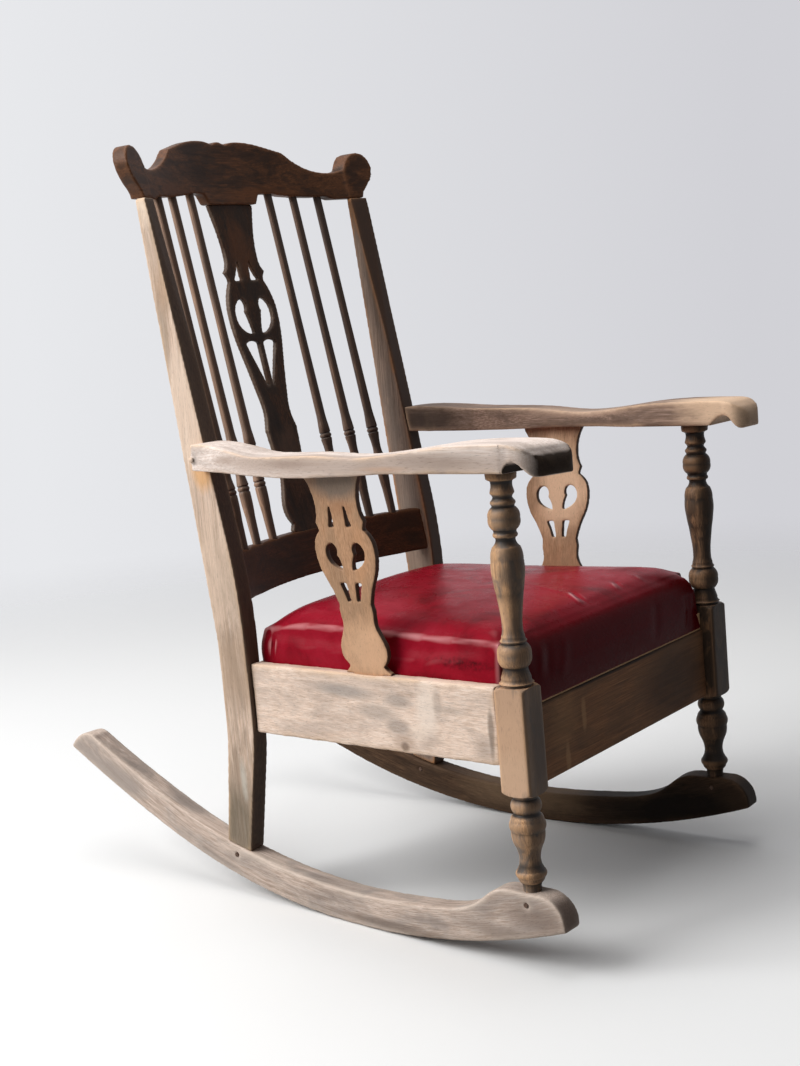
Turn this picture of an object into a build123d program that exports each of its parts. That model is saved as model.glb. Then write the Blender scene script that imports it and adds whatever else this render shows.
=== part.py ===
from build123d import *
import math
import os

# Rocking chair with a pierced splat back and a drop-in seat. Millimetres.
# Everything is first built upright in a construction frame: X across the chair with the sitter's
# left at +X, Y to the rear with 0 on the axis of the front posts, Z up with 0 on the top of the
# front seat rail. The finished chair is then leaned back to the angle at which it balances on
# its rockers and is set on the floor, with the origin under the middle of its outline.

# ---------------------------------------------------------------- driving dimensions
# front posts
post_spacing = 514.0            # between the axes of the two front posts
block = 44.0                    # square section of the front post at the seat
block_top = 34.0                # height of the square's upper shoulder
block_bottom = -104.0           # height of the square's lower shoulder
tongue = 8.0                    # height of the rounded shoulders of the square
arm_underside = 302.0           # where the front post meets the arm
pad_height = -230.5             # top of the rocker's raised pad under the front foot

# rockers
rocker_radius = 1015.0          # main curve of the rocker's sole
rocker_centre_y = 278.0
rocker_sole = -329.5            # lowest point of that curve
rocker_depth = 46.0
rocker_thick = 34.0
rocker_splay = 3.3              # degrees by which the rockers close towards the rear
tail_start = 660.0              # where the sole flattens towards the tail
tail_radius = 2300.0
tail_end = 894.0
tail_round = 62.0               # length of the rounded end of the tail
pad_front = -20.0
pad_rear = 27.0
nose_front = -58.0
nose_drop = 34.0                # height of the rounded nose
hollow_end = 200.0              # where the top edge settles to the rocker's depth
rocker_edge = 2.0               # rounding of the rocker's long edges

# back posts
back_post_x = 231.0             # middle of the post at seat height
back_post_thick = 29.0
back_post_lean = 0.5            # sideways lean in degrees
back_post_y = 466.0             # front face at the seat rail
post_depth_seat = 54.0
post_depth_foot = 46.0
post_depth_top = 21.0
post_top_y = 565.0              # front edge at the top
post_top = 690.0
knee_low = -85.0                # height of the lower knee
knee_high = 130.0               # height of the upper knee of the front edge
knee_high_rear = 60.0
foot_back = 38.0                # how far the foot stands behind the seat part
knee_radius_front = 900.0
knee_radius = 420.0
twist_start = 400.0             # where the front face starts to turn in to the bowed crest
twist_depth = 12.0
post_edge = 1.5

# bowed rails of the back
bow_radius = 520.0
back_angle = 11.0               # lean of the spindles and splat in the side view
crest_mid_y = 645.0             # middle of the crest's thickness at its centre, at crest_level
crest_level = 7.0               # height above the posts' tops at which that is measured
crest_thick = 21.0
crest_height = 100.0            # of its blank, above the posts' tops
ear_boss = 4.0                  # how far the ears' faces stand proud at their inner side
ear_inner = 224.0
ear_outer = 275.0
lower_rail_mid_y = 544.0        # the same for the lower rail, at lower_rail_top
lower_rail_top = 180.0
lower_rail_height = 68.0
lower_rail_thick = 19.0

# spindles and splats
spindle_tops = (88.0, 136.0, 180.0)      # distance of each spindle from the middle, at the crest
spindle_feet = (88.0, 135.5, 178.0)      # and at the lower rail
spindle_tenon = 9.0             # length of the spindle's ends in the rails
splat_thick = 8.0
splat_tenon = 8.0               # depth of the splat's ends in their mortises
fit = 0.1                       # clearance of a turned or sawn tenon in its hole, all round

# seat rails
rail_height = 101.0
rail_thick = 20.0
front_rail_height = 102.0
front_rail_thick = 22.0
front_rail_set = 16.0           # how far the front rail stands behind the block's front face
side_rail_rise = 34.0           # top of the side rail at the front, above the front rail
side_rail_fall = 10.0           # how much lower it is at the rear
side_rail_set = 2.0             # behind the outer face of the block
side_rail_rear_x = 238.0        # outer face at the back post
back_rail_height = 78.0
back_rail_thick = 20.0
back_rail_top = 14.0
back_rail_set = 14.0            # behind the front face of the back post

# arms
arm_nose_y = -104.0
arm_post_lap = 18.0             # how far the arm laps along the outside of the back post
arm_thick = 35.0                # from the arm's underside to its top at the front post
arm_dip = 10.0                  # how far the top sinks in the middle
arm_rise = 12.0                 # how much higher than at the front it ends at the back post
arm_beyond = 46.0               # how far the arm runs on behind the back post's front face
arm_tenon = 20.0

# arm splats
arm_splat_y = 240.0             # middle of its foot on the seat rail
arm_splat_lean = 6.1            # outwards
arm_splat_rake = 2.0            # backwards

# drop-in seat
seat_gap = 2.5                  # between the seat and the rails and posts round it
seat_lift = 0.3                 # what the seat's underside clears its rests by
seat_rear_y = 462.0
seat_frame_thick = 24.0
seat_bar = 52.0
cleat = 20.0
brace_height = 45.0             # of the corner braces
seat_crown = 101.0              # top of the cushion at its middle
crown_radius = 2600.0           # fullness of the cushion's top
cushion_edge = 13.0             # rounding of the cushion's top edge
cover_thick = 1.6
web_width = 50.0
web_thick = 1.5
burlap_thick = 1.2

# fasteners
dowel_diameter = 10.0
dowel_length = 44.0
peg_diameter = 6.0
tenon_diameter = 18.0
foot_tenon = 28.0
screw_diameter = 4.5
screw_head = 9.0
tack_head = 7.0

# ---------------------------------------------------------------- small helpers
LEFT_X = post_spacing / 2       # axis of the sitter's left front post
cut_reach = 400.0               # more than the depth of any board that an outline cuts


def mirrored(shape):
    return mirror(shape, about=Plane.YZ)


def across(outline, middle, width):
    """A board with its outline in the side view, width mm thick about x = middle."""
    return Pos(middle, 0, 0) * extrude(Plane.YZ * outline, amount=width / 2, both=True)


def eased(board, amount):
    """Rounds the long edges of a board made by across."""
    sides = board.faces().sort_by(Axis.X)
    return fillet(sides[0].edges() + sides[-1].edges(), amount)


def facing(outline, middle, depth):
    """A board with its outline in the front view, depth mm thick about y = middle."""
    return Pos(0, middle, 0) * extrude(Plane.XZ * outline, amount=depth / 2, both=True)


def standing(outline, low, high):
    """A board with its outline in plan, between two heights."""
    return Pos(0, 0, (low + high) / 2) * extrude(outline, amount=(high - low) / 2, both=True)


def rod(start, end, radius):
    """A round rod between two points."""
    start = Vector(*start)
    end = Vector(*end)
    place = Plane(origin=start, z_dir=end - start)
    return place * extrude(Circle(radius), amount=(end - start).length)


def turned(stations):
    """A turned form: each station is (height, radius) or (height, radius, bulge of the arc to it)."""
    edges = []
    here = (stations[0][1], stations[0][0])
    edges.append(Line((0, here[1]), here))
    for station in stations[1:]:
        there = (station[1], station[0])
        if len(station) == 3:
            edges.append(SagittaArc(here, there, station[2]))
        else:
            edges.append(Line(here, there))
        here = there
    edges.append(Line(here, (0, here[1])))
    edges.append(Line((0, here[1]), (0, stations[0][0])))
    return revolve(Plane.XZ * make_face(edges), axis=Axis.Z)


def fitted(stations, low, high):
    """Turning stations drawn from 0, stretched to run from low to high."""
    scale_up = (high - low) / stations[-1][0]
    return [(low + station[0] * scale_up,) + station[1:] for station in stations]


# ---------------------------------------------------------------- rockers
sole_centre = Vector(rocker_centre_y, rocker_sole + rocker_radius)


def on_arc(centre, radius, y):
    """The point below the centre of an arc at the given y."""
    return Vector(y, centre.Y - math.sqrt(radius ** 2 - (y - centre.X) ** 2))


def arc_below(centre, radius, start_y, end_y):
    middle_y = (start_y + end_y) / 2
    ends = [on_arc(centre, radius, y) for y in (start_y, middle_y, end_y)]
    return ThreePointArc(*ends)


top_radius = rocker_radius - rocker_depth
tail_joint = on_arc(sole_centre, rocker_radius, tail_start)
inward = (sole_centre - tail_joint).normalized()
tail_centre = tail_joint + inward * tail_radius
tail_joint_top = tail_joint + inward * rocker_depth
tail_tip = on_arc(tail_centre, tail_radius, tail_end)
tail_top = on_arc(tail_centre, tail_radius - rocker_depth, tail_end - tail_round)
nose_foot = on_arc(sole_centre, rocker_radius, nose_front)
hollow = on_arc(sole_centre, top_radius, hollow_end)
hollow_slope = (hollow - sole_centre).rotate(Axis.Z, 90)

rocker_outline = make_face(
    [
        arc_below(sole_centre, rocker_radius, nose_front, tail_start),
        arc_below(tail_centre, tail_radius, tail_start, tail_end),
        Spline(tail_tip, (tail_end - 22, tail_tip.Y + 20), (tail_end - 46, tail_tip.Y + 25.5), tail_top),
        arc_below(tail_centre, tail_radius - rocker_depth, tail_end - tail_round, tail_joint_top.X),
        arc_below(sole_centre, top_radius, tail_joint_top.X, hollow_end),
        Spline(
            (pad_rear, pad_height),
            (pad_rear + 53, pad_height - 25.5),
            hollow,
            tangents=[(1, 0), hollow_slope],
        ),
        Line((pad_rear, pad_height), (pad_front, pad_height)),
        ThreePointArc(
            (pad_front, pad_height),
            (nose_front + 11, pad_height - 10.5),
            (nose_front, pad_height - nose_drop),
        ),
        Line((nose_front, pad_height - nose_drop), nose_foot),
    ]
)
to_rocker = Pos(LEFT_X, 0, 0) * Rot(0, 0, rocker_splay)
rocker = to_rocker * eased(across(rocker_outline, 0, rocker_thick), rocker_edge)
foot_round = Pos(sole_centre.X, sole_centre.Y) * Circle(top_radius - fit / 5)
above_rocker = to_rocker * across(foot_round, 0, 6 * rocker_thick)


# ---------------------------------------------------------------- back posts
foot_level = rocker_sole + rocker_depth - 10
post_rear_y = back_post_y + post_depth_seat
front_edge = FilletPolyline(
    (back_post_y + foot_back, foot_level),
    (back_post_y, knee_low),
    (back_post_y, knee_high),
    (post_top_y, post_top),
    radius=[knee_radius, knee_radius_front],
)
rear_edge = FilletPolyline(
    (back_post_y + foot_back + post_depth_foot, foot_level),
    (post_rear_y, knee_low),
    (post_rear_y, knee_high_rear),
    (post_top_y + post_depth_top, post_top),
    radius=[knee_radius, knee_radius],
)
post_outline = make_face(
    [front_edge, Line(front_edge @ 1, rear_edge @ 1), rear_edge, Line(rear_edge @ 0, front_edge @ 0)]
)
to_back_post = Pos(back_post_x, 0, 0) * Rot(0, back_post_lean, 0)
back_post = to_back_post * eased(across(post_outline, 0, back_post_thick), post_edge)
back_post &= above_rocker
post_top_x = back_post_x + post_top * math.tan(math.radians(back_post_lean))


def post_front_y(z):
    """Front edge of the back post above the high knee."""
    rise = (z - knee_high) / (post_top - knee_high)
    return back_post_y + rise * (post_top_y - back_post_y)


twist_inner = Vector(back_post_x - back_post_thick / 2, post_front_y(twist_start), twist_start)
twist_outer_top = Vector(post_top_x + back_post_thick / 2, post_top_y, post_top)
twist_inner_top = Vector(post_top_x - back_post_thick / 2, post_top_y + twist_depth, post_top)
twist_normal = (twist_inner_top - twist_inner).cross(twist_outer_top - twist_inner)
if twist_normal.Y < 0:
    twist_normal = -twist_normal
back_post = split(back_post, bisect_by=Plane(origin=twist_inner, z_dir=twist_normal), keep=Keep.TOP)


# feet of the back posts, let into the rockers and pegged
post_foot_y = back_post_y + foot_back + post_depth_foot / 2
foot_x = back_post_x + foot_level * math.tan(math.radians(back_post_lean))
foot_seat = on_arc(sole_centre, top_radius, post_foot_y)
back_tenon = rod(
    (foot_x, post_foot_y - 4, foot_seat.Y + 30),
    (foot_x, post_foot_y + 1, foot_seat.Y - foot_tenon),
    tenon_diameter / 2,
)
back_tenon_hole = rod(
    (foot_x, post_foot_y - 4, foot_seat.Y + 30),
    (foot_x, post_foot_y + 1.2, foot_seat.Y - foot_tenon - 0.5),
    tenon_diameter / 2 + fit,
)


# ---------------------------------------------------------------- front posts
# each stretch is drawn from 0 and fitted between its two ends
lower_turning = [
    (0, 12.0),
    (10.5, 13.0, 0.6),
    (17.5, 17.5, -1.0),
    (27.5, 17.5, -2.5),
    (33.5, 14.5),
    (40.5, 13.3),
    (58.5, 17.5, 1.0),
    (78.5, 21.5, -1.5),
    (92.5, 21.5, -2.0),
    (99.5, 17.5, -0.8),
    (101.5, 16.5),
    (103.5, 17.5),
    (117.5, 18.0, -2.0),
    (120.5, 15.5),
    (126.5, 17.0),
]
upper_turning = [
    (0, 19.0),
    (4, 19.0),
    (4, 22.0),
    (11, 19.0, 1.2),
    (20, 16.0),
    (23, 15.5),
    (39, 21.5, -2.2),
    (54, 15.5, -2.2),
    (57, 17.0),
    (63, 14.8, 0.8),
    (74, 13.0, 0.6),
    (94, 14.2, 0.4),
    (116, 17.0),
    (134, 19.8, -0.3),
    (158, 20.4, -1.0),
    (174, 17.6, -1.0),
    (183, 12.3, 1.0),
    (186, 12.8),
    (188, 15.5, -0.6),
    (192, 14.2, -0.6),
    (195, 14.5),
    (209.5, 20.0, -2.3),
    (224, 14.0, -2.3),
    (226, 14.5),
    (232, 14.0, -1.6),
    (235, 12.0),
    (239, 14.0, 0.4),
    (242, 15.2, -0.5),
    (250, 13.5),
    (252, 17.5, 0.4),
    (257, 19.3, -0.8),
    (264, 19.3),
    (268, 17.8, -0.6),
]
tenon_radius = tenon_diameter / 2
post_stations = [(pad_height - foot_tenon, tenon_radius), (pad_height, tenon_radius)]
post_stations += fitted(lower_turning, pad_height, block_bottom)
post_stations += [(block_bottom + 4, 17.0)]
upper_stations = [(block_top - 4, 19.0)]
upper_stations += fitted(upper_turning, block_top, arm_underside)
upper_stations += [(arm_underside, tenon_radius), (arm_underside + arm_tenon, tenon_radius)]
shoulder_form = turned(
    [
        (block_bottom, block * 0.45),
        (block_bottom + tongue, block * 0.72, -2.5),
        (block_top - tongue, block * 0.72),
        (block_top, block * 0.45, -2.5),
    ]
)
square = Pos(0, 0, (block_top + block_bottom) / 2) * Box(block, block, block_top - block_bottom)
square = chamfer(square.edges().filter_by(Axis.Z), 1)
front_post = Pos(LEFT_X, 0, 0) * (turned(post_stations) + (square & shoulder_form) + turned(upper_stations))


# ---------------------------------------------------------------- arms
arm_top_front = arm_underside + arm_thick
arm_top_mid = arm_top_front - arm_dip
arm_top_rear = arm_top_front + arm_rise
arm_end_y = back_post_y + arm_beyond
arm_corner_outer = ThreePointArc(
    (LEFT_X + 6, arm_nose_y),
    (LEFT_X + 28, arm_nose_y + 11),
    (LEFT_X + 37, arm_nose_y + 38),
)
arm_corner_inner = ThreePointArc(
    (LEFT_X - 36, arm_nose_y + 32),
    (LEFT_X - 31, arm_nose_y + 9),
    (LEFT_X - 14, arm_nose_y),
)
arm_plan_outer = Spline(
    (LEFT_X + 37, arm_nose_y + 38),
    (LEFT_X + 41, 0),
    (LEFT_X + 43, 100),
    (LEFT_X + 46, 200),
    (LEFT_X + 44, 300),
    (LEFT_X + 33, 400),
    (LEFT_X + 20, 470),
    (LEFT_X + 12, arm_end_y),
)
arm_plan_inner = Spline(
    (LEFT_X - 36.5, arm_end_y - 42),
    (LEFT_X - 35, 420),
    (LEFT_X - 28, 380),
    (LEFT_X - 14, 320),
    (LEFT_X - 5, 260),
    (LEFT_X - 7, 200),
    (LEFT_X - 19, 150),
    (LEFT_X - 33, 100),
    (LEFT_X - 38, 55),
    (LEFT_X - 38.5, -10),
    (LEFT_X - 36, arm_nose_y + 32),
)
arm_plan = make_face(
    [
        arm_plan_outer,
        Line((LEFT_X + 12, arm_end_y), (LEFT_X - 27, arm_end_y)),
        Line((LEFT_X - 27, arm_end_y), (LEFT_X - 36.5, arm_end_y - 12)),
        Line((LEFT_X - 36.5, arm_end_y - 12), (LEFT_X - 36.5, arm_end_y - 42)),
        arm_plan_inner,
        arm_corner_inner,
        Line(arm_corner_inner @ 1, arm_corner_outer @ 0),
        arm_corner_outer,
    ]
)
arm_side = make_face(
    [
        Spline(
            (-50, arm_underside),
            (-62, arm_underside + 9),
            (-77, arm_underside + 12),
            (-90, arm_underside + 5),
            (-97, arm_underside + 2),
            (arm_nose_y, arm_underside + 13),
            (-99, arm_underside + 30),
            (-82, arm_top_front),
            (-60, arm_top_front + 0.5),
            (0, arm_top_front + 1),
            (70, arm_top_front - 1.5),
            (130, arm_top_front - 8),
            (200, arm_top_mid),
            (270, arm_top_mid + 10),
            (340, arm_top_rear - 4),
            (400, arm_top_rear + 1),
            (480, arm_top_rear),
            (arm_end_y + 3, arm_top_rear - 3),
        ),
        Line((arm_end_y + 3, arm_top_rear - 3), (arm_end_y + 3, arm_underside + 4)),
        Line((arm_end_y + 3, arm_underside + 4), (-50, arm_underside)),
    ]
)
arm = standing(arm_plan, arm_underside - 10, arm_top_rear + 20) & across(arm_side, LEFT_X, cut_reach)
arm -= back_post
arm -= Pos(LEFT_X, 0, arm_underside - 5) * Cylinder(
    tenon_diameter / 2 + fit, arm_tenon + 5.5, align=(Align.CENTER, Align.CENTER, Align.MIN)
)


# ---------------------------------------------------------------- bowed rails of the back
def bow_y(middle_y, x):
    """Middle of a bowed rail's thickness at a distance x from the centre line."""
    return middle_y - bow_radius + math.sqrt(bow_radius ** 2 - x ** 2)


def lean_up(plan, from_z, to_z, plan_z):
    """A plan outline drawn at plan_z and drawn out along the lean of the back."""
    run = math.tan(math.radians(back_angle))
    start = Pos(0, (from_z - plan_z) * run, from_z) * plan
    height = to_z - from_z
    return extrude(start, amount=height / math.cos(math.radians(back_angle)), dir=(0, run, 1))


def bow_plan(middle_y, thick, half):
    """Plan outline of a bowed board."""
    edges = []
    ends = []
    for radius in (bow_radius - thick / 2, bow_radius + thick / 2):
        end_y = middle_y - bow_radius + math.sqrt(radius ** 2 - half ** 2)
        apex_y = middle_y - bow_radius + radius
        edges.append(ThreePointArc((-half, end_y), (0, apex_y), (half, end_y)))
        ends.append(end_y)
    edges.append(Line((-half, ends[0]), (-half, ends[1])))
    edges.append(Line((half, ends[0]), (half, ends[1])))
    return make_face(edges)


crest_mid = bow_plan(crest_mid_y, crest_thick, ear_inner - 2)
ear_front_y = bow_y(crest_mid_y, ear_inner) - crest_thick / 2 * 1.1 - ear_boss
ear_slope = math.tan(math.radians(20))
ear_reach = ear_outer + 15 - ear_inner
ear_rear_y = crest_mid_y - bow_radius + math.sqrt((bow_radius + crest_thick / 2) ** 2 - (ear_inner - 2) ** 2)
ear_plan = make_face(
    Polyline(
        (ear_inner, ear_front_y),
        (ear_inner + ear_reach, ear_front_y - ear_reach * ear_slope),
        (ear_inner + ear_reach, ear_rear_y - ear_reach * ear_slope),
        (ear_inner - 2, ear_rear_y),
        (ear_inner - 2, ear_front_y + ear_boss),
        close=True,
    )
)
crest_plan = crest_mid + ear_plan + mirrored(ear_plan)


def half_outline(runs):
    """Curves of one half of a symmetric outline: two points a line, more a smooth curve."""
    edges = []
    for run in runs:
        edges.append(Line(*run) if len(run) == 2 else Spline(*run))
    return edges


def symmetric_face(runs):
    """A face from the right half of its outline, listed from the bottom to the top."""
    edges = half_outline(runs)
    edges += half_outline([[(-x, z) for x, z in run] for run in runs])
    for x, z in (runs[0][0], runs[-1][-1]):
        if x > 0:
            edges.append(Line((-x, z), (x, z)))
    return make_face(edges)


# heights from the tops of the back posts
crest_runs = [
    [(50, -4), (55, -1), (59, 8), (64.5, 12)],
    [(64.5, 12), (84, 12.5), (111, 9), (138, 6.5), (190, 4.8)],
    [(190, 4.8), (197, 1), (204, 0)],
    [(204, 0), (249, 0)],
    [(249, 0), (250, 7)],
    [
        (250, 7),
        (256, 15),
        (266.5, 27),
        (272.5, 39),
        (274.5, 51),
        (271.5, 62),
        (263, 71.5),
        (252.5, 74),
        (239, 70),
        (230, 60),
        (225, 48),
    ],
    [(225, 48), (214, 44.5), (197.5, 43.5), (180, 46), (163, 52), (145.5, 62), (135.5, 70)],
    [(135.5, 70), (126.5, 78)],
    [(126.5, 78), (104.5, 84), (76.5, 91), (52, 94), (27, 93), (14, 89)],
    [(14, 89), (9, 92), (0, 93.5)],
]
crest_foot = post_top + crest_runs[0][0][1]
crest_face = Pos(0, post_top) * symmetric_face(crest_runs)
crest_rail = lean_up(crest_plan, post_top - 8, post_top + crest_height, post_top + crest_level)
crest_rail &= facing(crest_face, crest_mid_y, cut_reach)

rail_bottom = lower_rail_top - lower_rail_height
lower_plan = bow_plan(lower_rail_mid_y, lower_rail_thick, back_post_x - 10)
lower_back_rail = lean_up(lower_plan, rail_bottom, lower_rail_top, lower_rail_top)
rail_tongue = lean_up(
    bow_plan(lower_rail_mid_y, 10, back_post_x + 2), rail_bottom + 9, lower_rail_top - 9, lower_rail_top
)
tongue_hole = lean_up(
    bow_plan(lower_rail_mid_y, 10 + 2 * fit, back_post_x + 2.5),
    rail_bottom + 9 - fit,
    lower_rail_top - 9 + fit,
    lower_rail_top,
)
lower_back_rail -= back_post
lower_back_rail -= mirrored(back_post)
lower_back_rail += rail_tongue


# ---------------------------------------------------------------- spindles
spindle_stations = [
    (0, 7.0),
    (60, 7.6),
    (71, 8.4),
    (73, 10.0),
    (82, 10.0, -1.0),
    (84, 8.0),
    (86, 10.2),
    (92, 10.2, -0.8),
    (94, 8.5),
    (118, 8.5, -0.6),
    (120, 10.0),
    (130, 10.0, -1.0),
    (131, 8.2),
    (133, 10.2),
    (142, 10.2, -0.9),
    (145, 7.6),
    (165, 7.0),
    (320, 6.25),
    (517, 6.35),
]
crest_under = (12.3, 6.6, 5.0)  # height of the crest's underside above the posts' tops, at each spindle


def spindle_line(place):
    foot = Vector(spindle_feet[place], bow_y(lower_rail_mid_y, spindle_feet[place]), lower_rail_top)
    top_z = post_top + crest_under[place]
    top = Vector(spindle_tops[place], bow_y(crest_mid_y, spindle_tops[place]), top_z)
    return foot, (top - foot).normalized(), (top - foot).length


def spindle(place):
    foot, along, length = spindle_line(place)
    stations = [(-spindle_tenon, spindle_stations[0][1])]
    stations += fitted(spindle_stations, 0, length)
    stations.append((length + spindle_tenon, spindle_stations[-1][1]))
    return Plane(origin=foot, z_dir=along) * turned(stations)


spindles = []
for place in range(3):
    spindles.append(spindle(place))
    foot, along, length = spindle_line(place)
    low = rod(foot - along * (spindle_tenon + 0.5), foot + along * 30, spindle_stations[0][1] + fit)
    high = rod(
        foot + along * (length - 30),
        foot + along * (length + spindle_tenon + 0.5),
        spindle_stations[-1][1] + fit,
    )
    lower_back_rail -= low
    lower_back_rail -= mirrored(low)
    crest_rail -= high
    crest_rail -= mirrored(high)


# ---------------------------------------------------------------- back splat
splat_low = Vector(lower_rail_mid_y - 1.5, lower_rail_top)
splat_high = Vector(crest_mid_y - 4.5, crest_foot - 2)
splat_along = (splat_high - splat_low).normalized()
splat_back = Vector(splat_along.Y, -splat_along.X)
splat_half = (splat_high - splat_low).length / 2
splat_bend = 5.0                # how far the splat bows to the rear
splat_radius = (splat_half ** 2 + splat_bend ** 2) / (2 * splat_bend)
splat_centre = (splat_high + splat_low) * 0.5 + splat_back * (splat_bend - splat_radius)


def bent_board(thick, over):
    """The splat's board in the side view, over mm longer than it shows at each end."""
    edges = []
    ends = []
    reach = (splat_half + over) / splat_radius
    for radius in (splat_radius - thick / 2, splat_radius + thick / 2):
        points = []
        for angle in (-reach, 0, reach):
            offset = splat_back * math.cos(angle) + splat_along * math.sin(angle)
            points.append(splat_centre + offset * radius)
        edges.append(ThreePointArc(*points))
        ends.append((points[0], points[2]))
    edges.append(Line(ends[0][0], ends[1][0]))
    edges.append(Line(ends[0][1], ends[1][1]))
    return across(make_face(edges), 0, cut_reach)


# heights from the top of the lower rail, on a splat splat_drawn high
splat_drawn = 506.0
back_splat_runs = [
    [(35, 0), (35, 4)],
    [(35, 4), (30, 12)],
    [(30, 12), (37, 22), (40, 38), (37, 53), (32.5, 67), (28, 83), (27, 96), (29.5, 112), (32, 135), (34, 158)],
    [
        (34, 158),
        (29.5, 174),
        (28, 185),
        (29.5, 200),
        (33.5, 220),
        (42, 260),
        (51, 300),
        (54, 325),
        (53.5, 348),
        (47.5, 370),
        (38, 388),
    ],
    [(38, 388), (41, 397), (45.5, 402)],
    [(45.5, 402), (38, 411), (35.5, 428), (37, 450), (43, 480), (49, 504)],
    [(49, 504), (49, splat_drawn)],
]
back_splat_cuts = [
    [[(9.5, 389), (28.5, 389)], [(28.5, 389), (20, 402), (14.5, 416), (12, 426)], [(12, 426), (9.5, 389)]],
    [
        [(8.5, 307), (11, 321), (17, 342)],
        [(17, 342), (14.5, 350), (20, 360), (32, 357), (41, 342), (39, 323), (26, 310), (8.5, 307)],
    ],
    [
        [(5, 292), (19, 295.5), (34, 292)],
        [(34, 292), (24, 266), (14, 241), (8, 225)],
        [(8, 225), (5, 225)],
        [(5, 225), (5, 292)],
    ],
]


def raised(runs, low, high, drawn):
    """Runs of an outline drawn from 0 to drawn, stretched to stand between two heights."""
    scale_up = (high - low) / drawn
    return [[(x, low + z * scale_up) for x, z in run] for run in runs]


def pierced(face, cuts):
    """Takes the cut-outs, given for one side, out of both halves of a splat's outline."""
    for cut in cuts:
        opening = make_face(half_outline(cut))
        face -= opening
        face -= mirror(opening, about=Plane.YZ)
    return face


splat_span = (lower_rail_top, crest_foot, splat_drawn)
back_splat_face = pierced(
    symmetric_face(raised(back_splat_runs, *splat_span)),
    [raised(cut, *splat_span) for cut in back_splat_cuts],
)
splat_board = bent_board(splat_thick, 30)
back_splat = splat_board & facing(back_splat_face, crest_mid_y, cut_reach)
splat_ends = []
for grow in (0, fit):
    low_end = Pos(0, lower_rail_top - splat_tenon / 2 - grow) * Rectangle(56 + 2 * grow, splat_tenon + grow * 2)
    high_end = Pos(0, crest_foot + splat_tenon / 2 + grow) * Rectangle(84 + 2 * grow, splat_tenon + grow * 2)
    board = bent_board(splat_thick + 2 * grow, 30)
    splat_ends.append(board & facing(low_end, crest_mid_y, cut_reach))
    splat_ends.append(board & facing(high_end, crest_mid_y, cut_reach))
back_splat = back_splat + splat_ends[0] + splat_ends[1]
lower_back_rail -= splat_ends[2]
crest_rail -= splat_ends[3]


# ---------------------------------------------------------------- seat rails
side_outer_x = LEFT_X + block / 2 - side_rail_set
side_slope = (side_outer_x - side_rail_rear_x) / back_post_y


def side_inner_x(y):
    """Inner face of the left side rail."""
    return side_outer_x - side_slope * y - rail_thick


side_plan = make_face(
    Polyline(
        (side_outer_x - side_slope * block / 2, block / 2),
        (side_inner_x(block / 2), block / 2),
        (side_inner_x(back_post_y + 14), back_post_y + 14),
        (side_inner_x(back_post_y + 14) + rail_thick, back_post_y + 14),
        close=True,
    )
)
side_face = make_face(
    Polyline(
        (0, side_rail_rise),
        (back_post_y + 20, side_rail_rise - side_rail_fall),
        (back_post_y + 20, side_rail_rise - side_rail_fall - rail_height),
        (0, side_rail_rise - rail_height),
        close=True,
    )
)
side_seat_rail = standing(side_plan, -cut_reach / 2, cut_reach / 2) & across(side_face, LEFT_X, cut_reach)
side_seat_rail -= back_post

front_rail_y = front_rail_set - block / 2
front_seat_rail = Pos(0, front_rail_y, 0) * Box(
    post_spacing - block,
    front_rail_thick,
    front_rail_height,
    align=(Align.CENTER, Align.MIN, Align.MAX),
)
back_rail_y = back_post_y + back_rail_set
back_seat_rail = Pos(0, back_rail_y, back_rail_top) * Box(
    2 * back_post_x - back_post_thick + 8,
    back_rail_thick,
    back_rail_height,
    align=(Align.CENTER, Align.MIN, Align.MAX),
)
back_seat_rail -= back_post
back_seat_rail -= mirrored(back_post)

# two dowels at each end of each seat rail
dowels = []
half_dowel = dowel_length / 2
for step in (0.27, 0.73):
    z = -front_rail_height * step
    y = front_rail_y + front_rail_thick / 2
    end_x = LEFT_X - block / 2
    dowels.append(((end_x - half_dowel, y, z), (end_x + half_dowel * 0.8, y, z)))
    z = back_rail_top - back_rail_height * step
    y = back_rail_y + back_rail_thick / 2
    end_x = back_post_x - back_post_thick / 2
    dowels.append(((end_x - half_dowel, y, z), (end_x + half_dowel * 0.9, y, z)))
    for end_y, ahead, behind in ((block / 2, 0.55, 1), (back_post_y, 1, 0.8)):
        z = side_rail_rise - side_rail_fall * end_y / back_post_y - rail_height * (step * 0.8 + 0.04)
        middle = side_inner_x(end_y) + rail_thick / 2
        dowels.append(
            (
                (middle + side_slope * half_dowel * ahead, end_y - half_dowel * ahead, z),
                (middle - side_slope * half_dowel * behind, end_y + half_dowel * behind, z),
            )
        )


def stretched(line, extra):
    """The two ends of a line, each moved outwards by extra."""
    start = Vector(*line[0])
    end = Vector(*line[1])
    along = (end - start).normalized()
    return start - along * extra, end + along * extra


dowel_holes = [rod(*stretched(line, 0.5), dowel_diameter / 2 + fit) for line in dowels]
dowel_pins = [rod(*line, dowel_diameter / 2) for line in dowels]
for hole in dowel_holes:
    side_seat_rail -= hole
    front_post -= hole
    back_post -= hole
    front_seat_rail -= hole
    front_seat_rail -= mirrored(hole)
    back_seat_rail -= hole
    back_seat_rail -= mirrored(hole)


# ---------------------------------------------------------------- joints of the posts
back_post -= tongue_hole
back_post += back_tenon - above_rocker & back_tenon
crest_dowel = (
    (post_top_x - 3, post_top_y + 15, post_top - 24),
    (post_top_x - 3, post_top_y + 24, post_top + 24),
)
crest_hole = rod(*stretched(crest_dowel, 0.5), dowel_diameter / 2 + fit)
crest_rail -= back_post
crest_rail -= mirrored(back_post)
back_post -= crest_hole
crest_rail -= crest_hole
crest_rail -= mirrored(crest_hole)
dowel_pins.append(rod(*crest_dowel, dowel_diameter / 2))

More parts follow.
